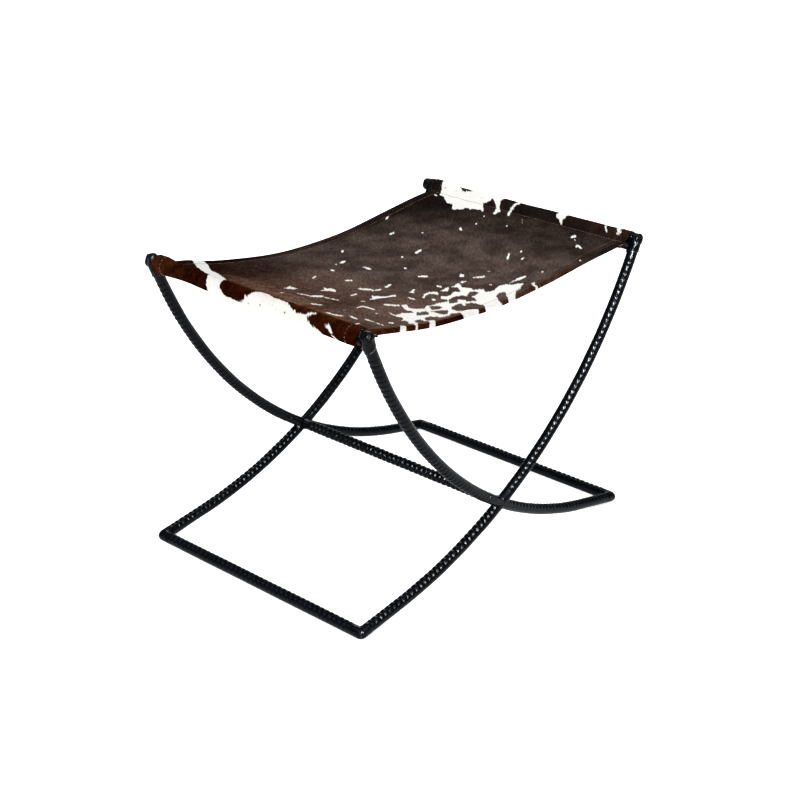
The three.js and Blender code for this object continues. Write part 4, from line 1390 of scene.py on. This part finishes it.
stitches = [hem_stitches("front", -1, 51), hem_stitches("rear", 1, 52),
            pocket_stitches("left", -1, 53), pocket_stitches("right", 1, 54)]

# The studio: a pale floor and wall, a dim room and soft lights
FLOOR_HALF = 20.0
WALL_SIDES, WALL_RADIUS, WALL_HEIGHT = 64, 6.0, 6.0


def pale_surface(name, points, faces, cloud_scale, roughness, glow):
    """A white surface of the studio that shines a little by itself."""
    material, tree, shader = new_material("pale_" + name)
    tone = noise(tree, object_place(tree), cloud_scale, 2)
    wire(tree, shader, {
        "Base Color": blend_colour(tree, tone, (0.9, 0.9, 0.9), (0.93, 0.93, 0.93)),
        "Roughness": roughness, "Emission Color": (1, 1, 1, 1), "Emission Strength": glow})
    mesh = bpy.data.meshes.new(name)
    mesh.from_pydata(points, [], faces)
    mesh.materials.append(material)
    surface = add_object(name, mesh)
    return surface


def floor_and_wall():
    """The floor, and far off a round wall that only the camera sees, so it lights nothing."""
    corners = [(x * FLOOR_HALF, y * FLOOR_HALF, 0) for x, y in ((-1, -1), (1, -1), (1, 1), (-1, 1))]
    pale_surface("floor", corners, [(0, 1, 2, 3)], 3, 0.9, 0.55)
    turns = 2 * math.pi * np.arange(WALL_SIDES) / WALL_SIDES
    rings = [xyz(WALL_RADIUS * np.cos(turns), WALL_RADIUS * np.sin(turns), z) for z in (0, WALL_HEIGHT)]
    inward = [face[::-1] for face in ring_band(0, WALL_SIDES, WALL_SIDES)]
    wall = pale_surface("backdrop", np.concatenate(rings).tolist(), inward, 0.5, 0.5, 1.0)
    for seen_by in ("diffuse", "glossy", "transmission", "volume_scatter", "shadow"):
        setattr(wall, "visible_" + seen_by, False)


ROOM_TINT, ROOM_STRENGTH = (0.92, 0.96, 1.0, 1), 0.16
OVERHEAD_ANGLE, OVERHEAD_POWER = math.radians(100), 3.4
OVERHEAD_TURN = (math.radians(12), math.radians(-14), 0)
# Each light: its place, the height it looks at above the middle of the floor, its size, its
# power, its tint, and whether it lights the colours of a thing too or only its gloss
LIGHTS = {
    "left_softbox": ((-2.9, -1.0, 1.25), 0.3, (0.3, 0.6), 12, (1, 1, 1), True),
    "gloss_strip": ((-1.75, -1.75, 1.95), 0.25, (0.3, 1.9), 640, (0.86, 0.93, 1.0), False),
    "gloss_panel": ((-0.45, -2.4, 1.8), 0.1, (0.5, 0.5), 165, (1, 1, 1), False),
    "gloss_back": ((1.85, 1.75, 1.55), 0.1, (0.9, 0.9), 30, (1, 1, 1), False),
}


def light_studio():
    world = bpy.data.worlds.new("studio")
    bpy.context.scene.world = world
    world.use_nodes = True
    wire(world.node_tree, world.node_tree.nodes["Background"],
         {"Color": ROOM_TINT, "Strength": ROOM_STRENGTH})
    sky = bpy.data.lights.new("overhead", "SUN")
    sky.angle = OVERHEAD_ANGLE
    sky.energy = OVERHEAD_POWER
    add_object("overhead", sky).rotation_euler = OVERHEAD_TURN
    for name, (place, target_height, size, power, tint, lights_colours) in LIGHTS.items():
        lamp = bpy.data.lights.new(name, "AREA")
        lamp.shape = "RECTANGLE"
        lamp.size, lamp.size_y = size
        lamp.energy = power
        lamp.color = tint
        light = add_object(name, lamp)
        light.location = place
        light.rotation_mode = "QUATERNION"
        light.rotation_quaternion = (Vector((0, 0, target_height)) - Vector(place)).to_track_quat("-Z", "Y")
        light.visible_camera = False
        light.visible_diffuse = lights_colours


CAMERA_PLACE = (-1.7350, -1.4886, 1.1722)
CAMERA_YAW, CAMERA_PITCH, CAMERA_ROLL = 0.8624, 0.4001, 0.0361
CAMERA_LENS, CAMERA_SENSOR = 72.7, 36


def set_camera():
    data = bpy.data.cameras.new("camera")
    data.lens = CAMERA_LENS
    data.sensor_width = CAMERA_SENSOR
    turns = ((-CAMERA_YAW, "Z"), (math.pi / 2 - CAMERA_PITCH, "X"), (CAMERA_ROLL, "Z"))
    way = Matrix.Translation(CAMERA_PLACE)
    for turn, axis in turns:
        way = way @ Matrix.Rotation(turn, 4, axis)
    camera = add_object("camera", data)
    camera.matrix_world = way
    bpy.context.scene.camera = camera


floor_and_wall()
light_studio()
set_camera()
bpy.context.scene.view_settings.view_transform = "Standard"
bpy.context.scene.view_settings.look = "Medium High Contrast"
